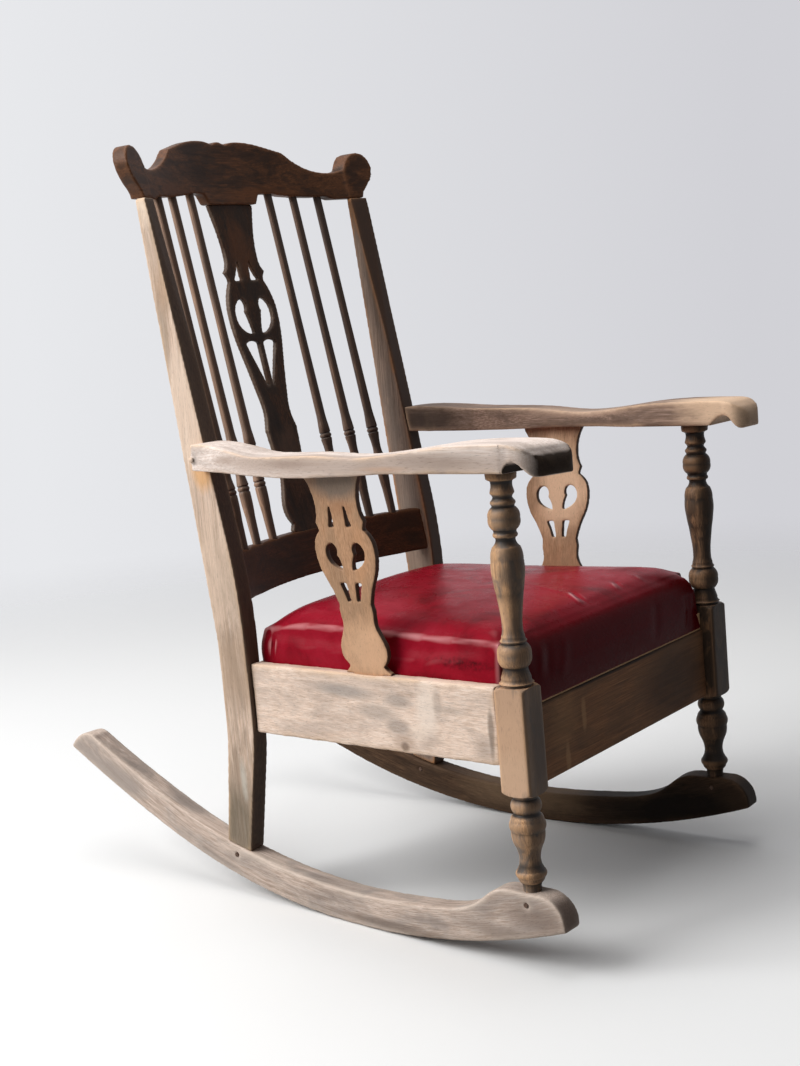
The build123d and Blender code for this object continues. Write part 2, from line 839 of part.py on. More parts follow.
rocker -= back_tenon_hole
rocker -= Pos(LEFT_X, 0, pad_height - foot_tenon - 0.5) * Cylinder(
    tenon_diameter / 2 + fit, foot_tenon + 10, align=(Align.CENTER, Align.CENTER, Align.MIN)
)

# a peg through each rocker and foot tenon
pegs = []
for y, z in ((0, pad_height - foot_tenon * 0.55), (post_foot_y, foot_seat.Y - foot_tenon * 0.55)):
    middle = to_rocker * Pos(0, y, z)
    peg = middle * Rot(0, 90, 0) * Cylinder(peg_diameter / 2, rocker_thick + 1)
    hole = middle * Rot(0, 90, 0) * Cylinder(peg_diameter / 2 + fit, rocker_thick + 20)
    pegs.append(peg)
    rocker -= hole
    front_post -= hole
    back_post -= hole


# ---------------------------------------------------------------- arm splats
arm_splat_foot = side_rail_rise - side_rail_fall * arm_splat_y / back_post_y
to_arm_splat = (
    Pos(side_inner_x(arm_splat_y) + rail_thick / 2, arm_splat_y, arm_splat_foot)
    * Rot(0, 0, math.degrees(math.atan(side_slope)))
    * Rot(0, arm_splat_lean, 0)
    * Rot(-arm_splat_rake, 0, 0)
)
arm_splat_reach = (arm_underside - arm_splat_foot) / math.cos(math.radians(arm_splat_lean))
# heights from the top of the side rail, on a splat arm_splat_drawn high
arm_splat_drawn = 275.0
arm_splat_runs = [
    [(42, -3), (42, 2)],
    [(42, 2), (37, 5), (31, 12)],
    [(31, 12), (38, 19), (42.5, 30), (41, 42), (36.5, 52), (31.5, 62), (29.5, 70), (30, 79), (31, 88)],
    [(31, 88), (29.5, 98)],
    [(29.5, 98), (33.5, 110), (40, 125), (48, 140), (53, 156), (54.5, 171), (52, 185), (46, 194), (40, 199)],
    [(40, 199), (42, 205), (44.5, 210)],
    [(44.5, 210), (40, 221), (39, 236), (42.5, 255), (51, 272)],
    [(51, 272), (51, arm_splat_drawn + 5)],
]
arm_splat_cuts = [
    [[(11.5, 203), (21, 203)], [(21, 203), (17, 218), (15, 232)], [(15, 232), (12, 232)], [(12, 232), (11.5, 203)]],
    [
        [(9, 144), (11, 156), (16, 166)],
        [(16, 166), (14.5, 174), (20, 181.5), (29, 180), (34.5, 171), (32, 158), (22, 149), (9, 144)],
    ],
    [
        [(8.5, 127), (20, 127)],
        [(20, 127), (14.5, 113), (11.5, 101)],
        [(11.5, 101), (5.5, 101)],
        [(5.5, 101), (8.5, 127)],
    ],
]
arm_splat_span = (0, arm_splat_reach, arm_splat_drawn)
arm_splat_face = pierced(
    symmetric_face(raised(arm_splat_runs, *arm_splat_span)),
    [raised(cut, *arm_splat_span) for cut in arm_splat_cuts],
)
arm_splat = to_arm_splat * across(arm_splat_face, 0, splat_thick)
arm_splat -= arm
arm_splat -= side_seat_rail
for grow in (0, fit):
    ends = make_face(
        Polyline(
            (-26 - grow, -splat_tenon - grow),
            (26 + grow, -splat_tenon - grow),
            (26 + grow, arm_splat_reach + splat_tenon + grow),
            (-26 - grow, arm_splat_reach + splat_tenon + grow),
            close=True,
        )
    )
    tenon = to_arm_splat * across(ends, 0, splat_thick + 2 * grow)
    if grow:
        arm -= tenon
        side_seat_rail -= tenon
    else:
        arm_splat += tenon & arm
        arm_splat += tenon & side_seat_rail

# a screw through each arm's lap into the back post
lap_y = post_front_y(arm_underside + 20) + arm_post_lap * 0.4
lap_z = arm_underside + 22
lap_x = back_post_x + back_post_thick / 2
screw_face = lap_x + 15


def screw(start, end):
    """A countersunk screw whose head ends at start."""
    start = Vector(*start)
    end = Vector(*end)
    along = (end - start).normalized()
    head = Plane(origin=start, z_dir=along) * Pos(0, 0, 1.5) * Cone(screw_head / 2, screw_diameter / 2, 3)
    return head + rod(start, end, screw_diameter / 2)


def screw_hole(start, end):
    start = Vector(*start)
    end = Vector(*end)
    along = (end - start).normalized()
    bore = rod(start - along * 20, start, screw_head / 2 + fit)
    sink = Plane(origin=start, z_dir=along) * Pos(0, 0, 1.5) * Cone(
        screw_head / 2 + fit, screw_diameter / 2 + fit, 3
    )
    return bore + sink + rod(start, end + along * 0.5, screw_diameter / 2 + fit)


arm_screw = ((screw_face, lap_y, lap_z), (screw_face - 38, lap_y + 4, lap_z))
arm_screws = [screw(*arm_screw)]
arm -= screw_hole(*arm_screw)
back_post -= screw_hole(*arm_screw)


# ---------------------------------------------------------------- seat rests
cleat_front_y = block / 2 + 3
cleat_rear_y = back_rail_y - 34
side_cleat = standing(
    make_face(
        Polyline(
            (side_inner_x(cleat_front_y), cleat_front_y),
            (side_inner_x(cleat_front_y) - cleat, cleat_front_y),
            (side_inner_x(cleat_rear_y) - cleat, cleat_rear_y),
            (side_inner_x(cleat_rear_y), cleat_rear_y),
            close=True,
        )
    ),
    -cleat,
    0,
)
rear_cleat_width = 30.0
rear_cleat = Pos(0, back_rail_y - rear_cleat_width, 0) * Box(
    2 * side_inner_x(back_rail_y) - 12,
    rear_cleat_width,
    cleat,
    align=(Align.CENTER, Align.MIN, Align.MAX),
)
cleats = [side_cleat, mirrored(side_cleat), rear_cleat]
cleat_screws = []
for y in (80, 240, 400):
    x = side_inner_x(y)
    line = ((x - cleat, y, -cleat / 2), (x + 12, y, -cleat / 2))
    cleat_screws.append(screw(*line))
    cleats[0] -= screw_hole(*line)
    side_seat_rail -= screw_hole(*line)
    cleats[1] -= mirrored(screw_hole(*line))
cleat_screws += [mirrored(one) for one in cleat_screws]
for x in (-130, 0, 130):
    line = ((x, back_rail_y - rear_cleat_width, -cleat / 2), (x, back_rail_y + 12, -cleat / 2))
    cleat_screws.append(screw(*line))
    cleats[2] -= screw_hole(*line)
    back_seat_rail -= screw_hole(*line)


def corner_brace(corner):
    """A brace across a corner of the seat rails, below the cleats."""
    return standing(make_face(Polyline(*corner, close=True)), -cleat - 1 - brace_height, -cleat - 1)


front_brace_y = front_rail_y + front_rail_thick
front_brace = corner_brace(
    [
        (170, front_brace_y),
        (206, front_brace_y),
        (side_inner_x(72), 72),
        (side_inner_x(108), 108),
    ]
)
rear_brace = corner_brace(
    [
        (158, back_rail_y),
        (192, back_rail_y),
        (side_inner_x(430), 430),
        (side_inner_x(396), 396),
    ]
)
corner_braces = [front_brace, rear_brace, mirrored(front_brace), mirrored(rear_brace)]


# ---------------------------------------------------------------- drop-in seat
def seat_side_x(y):
    return side_inner_x(y) - seat_gap


def seat_plan(inset):
    """Outline of the seat in plan, notched round the front posts' blocks."""
    notch_x = LEFT_X - block / 2 - seat_gap - inset
    notch_y = block / 2 + seat_gap + inset
    front_y = front_rail_y + 0.7 + inset
    rear_y = seat_rear_y - inset
    half = [
        (notch_x, front_y),
        (notch_x, notch_y),
        (seat_side_x(notch_y) - inset, notch_y),
        (seat_side_x(rear_y) - inset, rear_y),
    ]
    other = [(-x, y) for x, y in reversed(half)]
    return make_face(Polyline(*half, *other, close=True))


seat_middle_y = (front_rail_y + seat_rear_y) / 2


def cushion(inset, foot):
    """The seat's outer form, inset all round, from foot to its crowned top."""
    body = standing(seat_plan(inset), foot, seat_crown + 20)
    arch = Rot(90, 0, 0) * Cylinder(crown_radius - inset, 2 * seat_rear_y)
    body &= Pos(0, seat_middle_y, seat_crown - crown_radius) * arch
    top = body.faces().sort_by(Axis.Z)[-1]
    return fillet(top.edges(), max(cushion_edge - inset, 1))


seat_foot = seat_lift
frame_top = seat_foot + seat_frame_thick
frame_inset = cover_thick + 0.4
bar_front_y = front_rail_y + seat_bar
bar_rear_y = seat_rear_y - seat_bar
bar_inner_x = side_inner_x(seat_rear_y) - seat_bar
frame_middle = Pos(0, (bar_front_y + bar_rear_y) / 2)
frame_ring = seat_plan(frame_inset) - frame_middle * Rectangle(2 * bar_inner_x, bar_rear_y - bar_front_y)
frame_blank = standing(frame_ring, seat_foot, frame_top)

# woven webbing: straps from front to rear, with straps from side to side over them
straps = []
for x in (-105, -35, 35, 105):
    length = seat_rear_y - front_rail_y - 40
    straps.append(Pos(x, seat_middle_y, frame_top + web_thick / 2) * Box(web_width, length, web_thick))
for y in (90, 160, 230, 300, 370):
    length = 2 * (side_inner_x(y) - 22)
    straps.append(Pos(0, y, frame_top + web_thick * 1.5) * Box(length, web_width, web_thick))
burlap_foot = frame_top + 2 * web_thick
burlap_plan = seat_plan(cover_thick + 8)
burlap = standing(burlap_plan, burlap_foot, burlap_foot + burlap_thick)
stuffing = cushion(cover_thick + seat_lift, burlap_foot + burlap_thick)
seat_cover = cushion(0, seat_foot) - cushion(cover_thick, seat_foot - 5)

# cloth under the frame, held by tacks
cloth_thick = 0.8
cloth_front_y = front_brace_y + 4
cloth_rear_y = back_rail_y - rear_cleat_width - 4
cloth_inset = cleat + 4


def cloth_edge_x(y):
    return side_inner_x(y) - cloth_inset


dust_cloth = standing(
    make_face(
        Polyline(
            (cloth_edge_x(cleat_front_y), cloth_front_y),
            (cloth_edge_x(cloth_rear_y), cloth_rear_y),
            (-cloth_edge_x(cloth_rear_y), cloth_rear_y),
            (-cloth_edge_x(cleat_front_y), cloth_front_y),
            close=True,
        )
    ),
    seat_foot - cloth_thick,
    seat_foot,
)
tack_places = []
for x in (-175, -105, -35, 35, 105, 175):
    tack_places.append((x, cloth_front_y + 8))
    tack_places.append((x, cloth_rear_y - 8))
for y in (90, 160, 230, 300, 370):
    tack_places.append((cloth_edge_x(y) - 8, y))
    tack_places.append((8 - cloth_edge_x(y), y))
cloth_foot = seat_foot - cloth_thick
tacks = []
tack_holes = []
for x, y in tack_places:
    head = Pos(x, y, cloth_foot - 1) * Cone(tack_head * 0.3, tack_head / 2, 2)
    shank = Pos(x, y, cloth_foot + 4) * Cylinder(0.8, 8)
    tacks.append(head + shank)
    tack_holes.append(Pos(x, y, cloth_foot + 4.2) * Cylinder(0.9, 8.6))
frame_blank -= tack_holes
dust_cloth -= tack_holes
seat_bars = []
for low_y, high_y in ((-block, bar_front_y), (bar_front_y, bar_rear_y), (bar_rear_y, back_post_y)):
    span = Pos(0, (low_y + high_y) / 2, 0) * Box(2 * cut_reach, high_y - low_y, cut_reach)
    seat_bars += (frame_blank & span).solids()


# ---------------------------------------------------------------- the chair, still upright
wood = 600.0                    # densities in kg per cubic metre
leather = 900.0
cloth = 300.0
steel = 7850.0

chair = {
    "left_rocker": ([rocker], wood),
    "right_rocker": ([mirrored(rocker)], wood),
    "left_front_post": ([front_post], wood),
    "right_front_post": ([mirrored(front_post)], wood),
    "left_back_post": ([back_post], wood),
    "right_back_post": ([mirrored(back_post)], wood),
    "crest_rail": ([crest_rail], wood),
    "lower_back_rail": ([lower_back_rail], wood),
    "back_splat": ([back_splat], wood),
    "left_arm": ([arm], wood),
    "right_arm": ([mirrored(arm)], wood),
    "left_arm_splat": ([arm_splat], wood),
    "right_arm_splat": ([mirrored(arm_splat)], wood),
    "front_seat_rail": ([front_seat_rail], wood),
    "left_seat_rail": ([side_seat_rail], wood),
    "right_seat_rail": ([mirrored(side_seat_rail)], wood),
    "back_seat_rail": ([back_seat_rail], wood),
    "rail_dowels": (dowel_pins + [mirrored(pin) for pin in dowel_pins], wood),
    "tenon_pegs": (pegs + [mirrored(peg) for peg in pegs], wood),
    "arm_screws": (arm_screws + [mirrored(one) for one in arm_screws], steel),
    "seat_cleats": (cleats, wood),
    "cleat_screws": (cleat_screws, steel),
    "corner_braces": (corner_braces, wood),
    "seat_frame": (seat_bars, wood),
    "seat_webbing": (straps, cloth),
    "seat_burlap": ([burlap], cloth),
    "seat_stuffing": ([stuffing], cloth),
    "seat_cover": ([seat_cover], leather),
    "seat_dust_cloth": ([dust_cloth], cloth),
    "seat_tacks": (tacks, steel),
}
for number, one in enumerate(spindles):
    chair[f"left_spindle_{number + 1}"] = ([one], wood)
    chair[f"right_spindle_{number + 1}"] = ([mirrored(one)], wood)

# ---------------------------------------------------------------- balance on the rockers
mass = 0.0
moment = Vector(0, 0, 0)
for shapes, density in chair.values():
    for shape in shapes:
        weight = shape.volume * density * 1e-9
        mass += weight
        moment += shape.center(CenterOf.MASS) * weight
centre = moment * (1 / mass)
lean_back = math.degrees(math.atan((centre.Y - sole_centre.X) / (sole_centre.Y - centre.Z)))
print(f"mass {mass:.2f} kg, centre of mass y {centre.Y:.1f} z {centre.Z:.1f}, leans back {lean_back:.2f} degrees")

tilt = Rot(-lean_back, 0, 0)
solids = {}
for name, (shapes, density) in chair.items():
    solids[name] = [tilt * solid for shape in shapes for solid in shape.solids()]
everything = Compound([solid for group in solids.values() for solid in group])
box = everything.bounding_box()
to_floor = Pos(-(box.min.X + box.max.X) / 2, -(box.min.Y + box.max.Y) / 2, -box.min.Z)
print(f"size {box.size.X:.1f} x {box.size.Y:.1f} x {box.size.Z:.1f} mm")
print(f"construction origin at {tuple(round(value, 3) for value in to_floor.position)}")

os.makedirs("parts", exist_ok=True)
for name, group in solids.items():
    placed = [to_floor * solid for solid in group]
    export_step(placed[0] if len(placed) == 1 else Compound(placed), f"parts/{name}.step")
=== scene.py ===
import math

import bmesh
import bpy
import numpy as np
from mathutils import Matrix, Vector


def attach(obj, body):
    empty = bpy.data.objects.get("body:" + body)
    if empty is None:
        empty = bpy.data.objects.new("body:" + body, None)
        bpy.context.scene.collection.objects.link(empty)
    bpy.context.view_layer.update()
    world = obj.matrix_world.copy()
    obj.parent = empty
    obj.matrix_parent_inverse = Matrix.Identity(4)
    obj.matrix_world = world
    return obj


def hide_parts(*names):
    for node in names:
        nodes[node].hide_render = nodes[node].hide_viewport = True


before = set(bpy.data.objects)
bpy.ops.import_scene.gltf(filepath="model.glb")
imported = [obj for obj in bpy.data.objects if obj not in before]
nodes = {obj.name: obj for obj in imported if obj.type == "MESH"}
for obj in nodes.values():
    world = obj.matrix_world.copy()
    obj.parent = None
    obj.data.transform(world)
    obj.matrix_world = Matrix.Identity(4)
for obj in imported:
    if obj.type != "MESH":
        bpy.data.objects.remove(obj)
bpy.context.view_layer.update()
scene = bpy.context.scene
print("frame loaded:", len(nodes), "CAD nodes")


# the chair is drawn upright in millimetres, then leaned back and set on the floor
chairPlace = {
    "leanBack": 1.02,  # degrees
    "origin": (0.0, -0.396151, 0.334565),  # the drawing's zero point, in metres
}
toRow = Matrix.Translation(chairPlace["origin"]) @ Matrix.Rotation(math.radians(-chairPlace["leanBack"]), 4, "X")
toRow = toRow @ Matrix.Scale(0.001, 4)
toDrawing = toRow.inverted()
chairFront = tuple(toRow.to_3x3() @ Vector((0, -1000, 0)))  # the way it faces, as a unit vector


def moved(points, matrix):
    table = np.array(matrix)
    return points @ table[:3, :3].T + table[:3, 3]


# colours and shader nodes
def hexColor(code):
    channels = [int(code[i:i + 2], 16) / 255 for i in (1, 3, 5)]
    return (*[c / 12.92 if c <= 0.04045 else ((c + 0.055) / 1.055) ** 2.4 for c in channels], 1.0)


def addNode(tree, kind, links=None, **settings):
    node = tree.nodes.new("ShaderNode" + kind)
    for name, value in settings.items():
        if hasattr(node, name):
            setattr(node, name, value)
        else:
            node.inputs[name].default_value = value
    for name, source in (links or {}).items():
        tree.links.new(source, node.inputs[name])
    return node


def feed(node, place, value):
    if isinstance(value, bpy.types.NodeSocket):
        node.id_data.links.new(value, node.inputs[place])
    else:
        node.inputs[place].default_value = hexColor(value) if isinstance(value, str) else value


def newMaterial(name):
    material = bpy.data.materials.new(name)
    material.use_nodes = True
    tree = material.node_tree
    return material, tree, tree.nodes["Principled BSDF"], addNode(tree, "TexCoord").outputs


# these put their node in the tree of the first socket that they get
def maths(operation, first, *others, clamp=False):
    node = addNode(first.id_data, "Math", operation=operation, use_clamp=clamp)
    for index, value in enumerate((first, *others)):
        feed(node, index, value)
    return node.outputs["Value"]


def times(first, second):
    return maths("MULTIPLY", first, second)


def vectors(operation, first, *others):
    node = addNode(first.id_data, "VectorMath", operation=operation)
    for index, value in enumerate((first, *others)):
        feed(node, index, value)
    return node.outputs["Value" if operation in ("LENGTH", "DOT_PRODUCT") else "Vector"]


def mixColor(amount, first, second):
    node = addNode(amount.id_data, "Mix", data_type="RGBA", clamp_factor=True)
    for index, value in ((0, amount), (6, first), (7, second)):
        feed(node, index, value)
    return node.outputs[2]


def stops(source, *points):
    ramp = addNode(source.id_data, "ValToRGB", {"Fac": source})
    while len(ramp.color_ramp.elements) < len(points):
        ramp.color_ramp.elements.new(0.5)
    for element, (position, color) in zip(ramp.color_ramp.elements, points):
        element.position = position
        element.color = hexColor(color) if isinstance(color, str) else (color, color, color, 1)
    return ramp.outputs["Color"]


# size in metres, one for all three ways or one for each
def noiseAt(source, size, detail, roughness, distortion=0.0):
    links = {"Vector": vectors("DIVIDE", source, size if isinstance(size, tuple) else (size,) * 3)}
    look = {"Scale": 1.0, "Detail": detail, "Roughness": roughness, "Distortion": distortion}
    return addNode(source.id_data, "TexNoise", links, **look).outputs["Fac"]


def bumpOn(shader, *layers):
    normal = None
    for height, strength, distance in layers:
        links = {"Height": height}
        if normal:
            links["Normal"] = normal
        normal = addNode(shader.id_data, "Bump", links, Strength=strength, Distance=distance).outputs["Normal"]
    feed(shader, "Normal", normal)


# a patch round a point of the drawing: all there out to "full" of its reach, gone at "none", torn by a noise
patchEdge = {"full": 0.45, "none": 1.25, "torn": 1.2}


def patchAt(position, centre, size, ragged):
    away = vectors("SUBTRACT", position, tuple(toRow @ Vector(centre)))
    reach = vectors("LENGTH", vectors("DIVIDE", away, tuple(s / 1000 for s in size)))
    torn = maths("MULTIPLY_ADD", ragged, patchEdge["torn"], -patchEdge["torn"] / 2)
    reach = maths("ADD", reach, torn)
    return stops(reach, (patchEdge["full"], 1.0), (patchEdge["none"], 0.0))


# maple that was stained dark, then rubbed, washed and greyed by use
woodGrain = {  # sizes in metres, then detail, roughness and distortion of the noise
    "fibre": ((0.0013, 0.0013, 0.07), 4, 0.6),  # drawn coarser than real, so that it shows
    "pore": ((0.0006, 0.0006, 0.012), 2, 0.5),
    "streak": ((0.006, 0.006, 0.16), 5, 0.6, 0.4),  # darker bands of old stain along the grain
    "blotch": ((0.10, 0.10, 0.13), 6, 0.6, 0.6),
    "dent": (0.02, 3, 0.6),
    "cloud": (6, 0.62, 0.6),  # soft smudges, in a size of each wood's own
}
woodAge = {
    "held": (0.8, -0.12, 0.25),  # how stain clings to smudges, relief and fibres, beside the blotches
    "bare": 1.4,  # and the level below which none is left
    "frontEdge": (0.45, 0.85), "frontTorn": 0.3,  # how the painted shade of the front fades round a corner
    "frontSpared": -0.85,  # faces under the painted front shade hardly show their rubbed edges
    "pits": 0.45,
    "bump": ((0.25, 0.0004), (0.2, 0.002)),  # strength and depth in metres: fibres, dents
}


def agedWood(name, own):
    look = plainWood | own
    material, tree, shader, surface = newMaterial(name)
    grain = addNode(tree, "Attribute", attribute_name="grain").outputs["Vector"]
    relief = addNode(tree, "Attribute", attribute_name="relief").outputs["Fac"]
    position = surface["Object"]
    fibre, pore, streak = [noiseAt(grain, *woodGrain[kind]) for kind in ("fibre", "pore", "streak")]
    cloud = noiseAt(grain, look["cloud"], *woodGrain["cloud"])
    blotch, dent = [noiseAt(position, *woodGrain[kind]) for kind in ("blotch", "dent")]
    # bare wood with its darker and lighter fibres
    color = stops(fibre, *zip((0.30, 0.5, 0.70), look["bare"]))
    # stain kept in the grain, thick in some places and rubbed off in others
    held = blotch
    for clinging, amount in zip((cloud, relief, fibre), woodAge["held"]):
        held = maths("MULTIPLY_ADD", clinging, amount, held)
    held = maths("ADD", held, look["stained"] - woodAge["bare"])
    stain = stops(fibre, (0.35, look["stainDark"]), (0.65, look["stain"]))
    color = mixColor(stops(held, (0.0, 0.0), (0.30, 1.0)), color, stain)
    # the grey film of age, and bands of stain along the grain
    (start, full), (film, filmed) = look["filmFrom"], look["film"]
    color = mixColor(stops(cloud, (start, 0.0), (full, filmed)), color, film)
    banded = stops(streak, (0.48, 0.0), (0.64, look["banded"]))
    banded = times(banded, stops(blotch, (0.4, 0.3), (0.6, 1.0)))
    color = mixColor(banded, color, look["stain"])
    # placed marks: centre and reach in drawing millimetres, colour, strength
    for centre, size, paint, amount in look["marks"]:
        patch = patchAt(position, centre, size, cloud)
        color = mixColor(times(patch, amount), color, paint)
    # edges and beads rubbed to gold, and painted shade on the faces turned to the front, darker than the sides
    # as if the light missed them
    gold, amount = look["rubAndSheen"]
    rubAndSheenMask = times(maths("MAXIMUM", relief, 0.0), amount)
    if look["paintedFrontShade"]:
        facing = vectors("DOT_PRODUCT", surface["Normal"], chairFront)
        facing = maths("MULTIPLY_ADD", cloud, woodAge["frontTorn"], facing)
        low, high = woodAge["frontEdge"]
        frontShadeMask = stops(facing, (low, 0.0), (high, look["paintedFrontShade"]))
        front = stops(fibre, (0.35, look["stainDark"]), (0.7, look["front"]))
        color = mixColor(frontShadeMask, color, front)
        rubAndSheenMask = times(rubAndSheenMask, maths("MULTIPLY_ADD", frontShadeMask, woodAge["frontSpared"], 1.0))
    rubAndSheenMask = times(rubAndSheenMask, stops(cloud, (0.40, 0.15), (0.58, 1.0)))
    color = mixColor(rubAndSheenMask, color, gold)
    # grime in the grooves, stain in the pores
    grime = maths("MAXIMUM", times(relief, -1.0), 0.0)
    color = mixColor(times(grime, look["grimy"]), color, look["grime"])
    pits = times(stops(pore, (0.30, 1.0), (0.38, 0.0)), woodAge["pits"])
    color = mixColor(pits, color, look["stainDark"])
    feed(shader, "Base Color", color)
    feed(shader, "Roughness", maths("MULTIPLY_ADD", fibre, 0.2, look["rough"] - 0.1))
    feed(shader, "Specular IOR Level", look["specular"])
    fibreBump, dentBump = woodAge["bump"]
    bumpOn(shader, (maths("ADD", fibre, pore), *fibreBump), (dent, *dentBump))
    return material


plainWood = {
    "bare": ("#b39680", "#cdb09a", "#dfc8b5"),  # darker fibres, the wood, lighter fibres
    "stained": 0.0, "stain": "#6b4f3c", "stainDark": "#33241b", "banded": 0.35,
    "film": ("#8b8078", 0.55), "filmFrom": (0.42, 0.60),  # colour and strength
    "rubAndSheen": ("#e0bd98", 0.6),
    "grime": "#2a211b", "grimy": 0.8,
    # colour and strength of the painted shade on faces turned to the front
    "front": "#4a3527", "paintedFrontShade": 0.9,
    "rough": 0.62, "specular": 0.25,
    "cloud": (0.04, 0.04, 0.12),  # metres, the last along the grain
    "marks": (),
}
# nearly white with grey runs down the side; painted shade makes the side darker than the top and the front of
# the nose almost black, over its dark end grain
armWood = agedWood("bleached maple of the arms", {
    "bare": ("#cbb5a6", "#ecdcd2", "#f6ece4"), "film": ("#a99a91", 0.5), "banded": 0.25, "stain": "#8a7160",
    "stainDark": "#241a14", "front": "#140e0a", "paintedFrontShade": 1.0, "specular": 0.1,
    "marks": (
        ((-296, 200, 316), (20, 420, 22), "#b39f92", 0.8),  # painted shade: the side made greyer and darker than the top
        ((-292, 60, 318), (16, 90, 16), "#98867a", 0.6), ((-292, 300, 318), (16, 60, 9), "#8f7a6d", 0.6),
        ((-292, 440, 322), (16, 40, 9), "#a38d7f", 0.6), ((-292, 150, 310), (16, 60, 6), "#c59b7c", 0.6),
    ),
})
# brown and grey, golden at the nose, with painted shade by the post and along the underside
farArmWood = agedWood("half bleached maple of the left arm", {
    "bare": ("#6f5849", "#957a68", "#b3988a"), "film": ("#5b4a40", 0.75), "banded": 0.6, "stained": 0.1,
    "stain": "#4f3a2d", "front": "#8a7059", "paintedFrontShade": 0.4, "rubAndSheen": ("#d9b594", 0.8),
    "marks": (
        ((245, -60, 330), (70, 90, 50), "#e0bfa0", 0.9), ((245, 200, 330), (70, 130, 14), "#c0a28c", 0.6),
        # painted shade by the post, and painted shade along the underside
        ((245, 470, 322), (70, 100, 34), "#34251b", 0.9), ((245, 120, 306), (70, 200, 8), "#4a382c", 0.7),
    ),
})
# cream to straw, painted shade in front, grey green at the foot
postWood = agedWood("rubbed maple of the right back post", {
    "bare": ("#ae927b", "#d6bba6", "#e8d4c3"), "stained": 0.06, "film": ("#94816f", 0.7), "banded": 0.3,
    "front": "#4b382b", "paintedFrontShade": 0.97,
    "marks": (
        ((-246, 568, 690), (30, 30, 50), "#f2dcc6", 0.8), ((-246, 552, 560), (30, 16, 50), "#b8967a", 0.5),
        ((-246, 530, 380), (30, 40, 110), "#e6cfba", 0.5), ((-246, 512, 305), (14, 24, 34), "#d9a469", 0.75),
        ((-246, 507, 160), (30, 60, 90), "#d8bfa9", 0.5), ((-246, 490, 20), (30, 60, 70), "#a98f78", 0.55),
        ((-231, 520, -230), (60, 80, 110), "#5b5342", 0.75),
        ((-246, 497, -148), (14, 9, 40), "#cfcdc2", 0.5),  # a chalky splash on the foot
    ),
})
# dark bands, and edges rubbed to orange
farPostWood = agedWood("brown maple of the left back post", {
    "bare": ("#6a5649", "#8d7768", "#a6907f"), "stained": 0.12, "stain": "#4d3a2e", "film": ("#6f6258", 0.7),
    "banded": 0.6, "front": "#3c291d", "paintedFrontShade": 0.97, "rubAndSheen": ("#b07a4c", 0.9),
    "marks": (
        ((231, 560, 690), (60, 60, 70), "#4b382d", 0.75), ((231, 500, 60), (60, 60, 120), "#8c7868", 0.5),
    ),
})
# pinkish cream with grey water marks and a knot
sideRailWood = agedWood("washed maple of the side rails", {
    "bare": ("#ccb09a", "#e8cfbc", "#f2e0d2"), "film": ("#a39388", 0.5), "banded": 0.3, "stain": "#8b6f5b",
    "marks": (
        ((-257, 302, 4), (15, 90, 13), "#948c86", 0.7), ((-262, 230, -20), (15, 46, 14), "#a3968c", 0.6),
        ((-262, 188, 0), (15, 30, 12), "#9a8f87", 0.6), ((-262, 190, -36), (15, 26, 12), "#8a8079", 0.6),
        ((-264, 136, -6), (15, 22, 44), "#ecdccd", 0.6), ((-264, 118, 4), (15, 9, 24), "#a8978a", 0.5),
        ((-264, 152, -40), (15, 22, 14), "#ecd8c6", 0.6),
        ((-262, 180, -62), (12, 9, 8), "#54443a", 0.85),  # a knot by the lower edge
        ((-262, 180, -56), (12, 24, 14), "#a08775", 0.5), ((-272, 32, -30), (12, 6, 44), "#6b5c50", 0.7),
        ((-266, 44, -50), (12, 22, 20), "#8f7d70", 0.6), ((-262, 96, -4), (15, 40, 8), "#a4968b", 0.5),
        ((-262, 330, -60), (15, 60, 14), "#d7b497", 0.5),
    ),
})
# mid brown, with painted shade darkening its left end
frontRailWood = agedWood("brown stained maple of the front rail", {
    "bare": ("#573b28", "#7b553a", "#926b4a"), "stained": 0.2, "stain": "#432e1f", "banded": 0.6,
    "film": ("#55402f", 0.55), "rubAndSheen": ("#3a291d", 0.6), "rough": 0.6, "paintedFrontShade": 0.0, "specular": 0.1,
    "marks": (
        ((0, -6, 0), (300, 12, 3.5), "#150d08", 1.0),  # painted shadow under the edge of the seat
        ((-165, -8, -30), (45, 14, 60), "#93704f", 0.35),
        ((-115, -8, -40), (7, 14, 30), "#a9835f", 0.5),  # a pale run down the face
        # a second pale run, then painted shade over the left end
        ((-160, -8, -84), (7, 14, 26), "#a9835f", 0.5), ((140, -8, -50), (120, 14, 70), "#2c1c12", 0.75),
    ),
})
# red brown with black patches and a satin gloss
crestWood = agedWood("mottled dark maple of the crest", {
    "bare": ("#3d291d", "#61402c", "#7b5236"), "stained": 0.40, "stain": "#2e1d13", "stainDark": "#120c08",
    "film": ("#3b2a20", 0.75), "filmFrom": (0.46, 0.56), "banded": 0.8, "rubAndSheen": ("#8a5c3c", 0.5),
    "rough": 0.42, "paintedFrontShade": 0.0, "specular": 0.12, "cloud": (0.035, 0.02, 0.06),
    "marks": (
        ((-290, 640, 735), (24, 60, 60), "#a08d80", 0.7), ((-60, 620, 735), (50, 40, 26), "#1c130e", 0.75),
        ((-140, 620, 700), (50, 40, 20), "#5a3722", 0.5), ((70, 620, 700), (90, 40, 20), "#7d4f31", 0.5),
        ((180, 620, 690), (60, 40, 20), "#1f1610", 0.6),
    ),
})
# very dark red brown
lowerRailWood = agedWood("dark maple of the lower back rail", {
    "bare": ("#2f1a0f", "#4a2a19", "#5f3822"), "stained": 0.35, "stain": "#23140c", "stainDark": "#100a06",
    "film": ("#2c1c13", 0.5), "rubAndSheen": ("#6d4830", 0.4), "rough": 0.45, "paintedFrontShade": 0.0, "specular": 0.1,
})
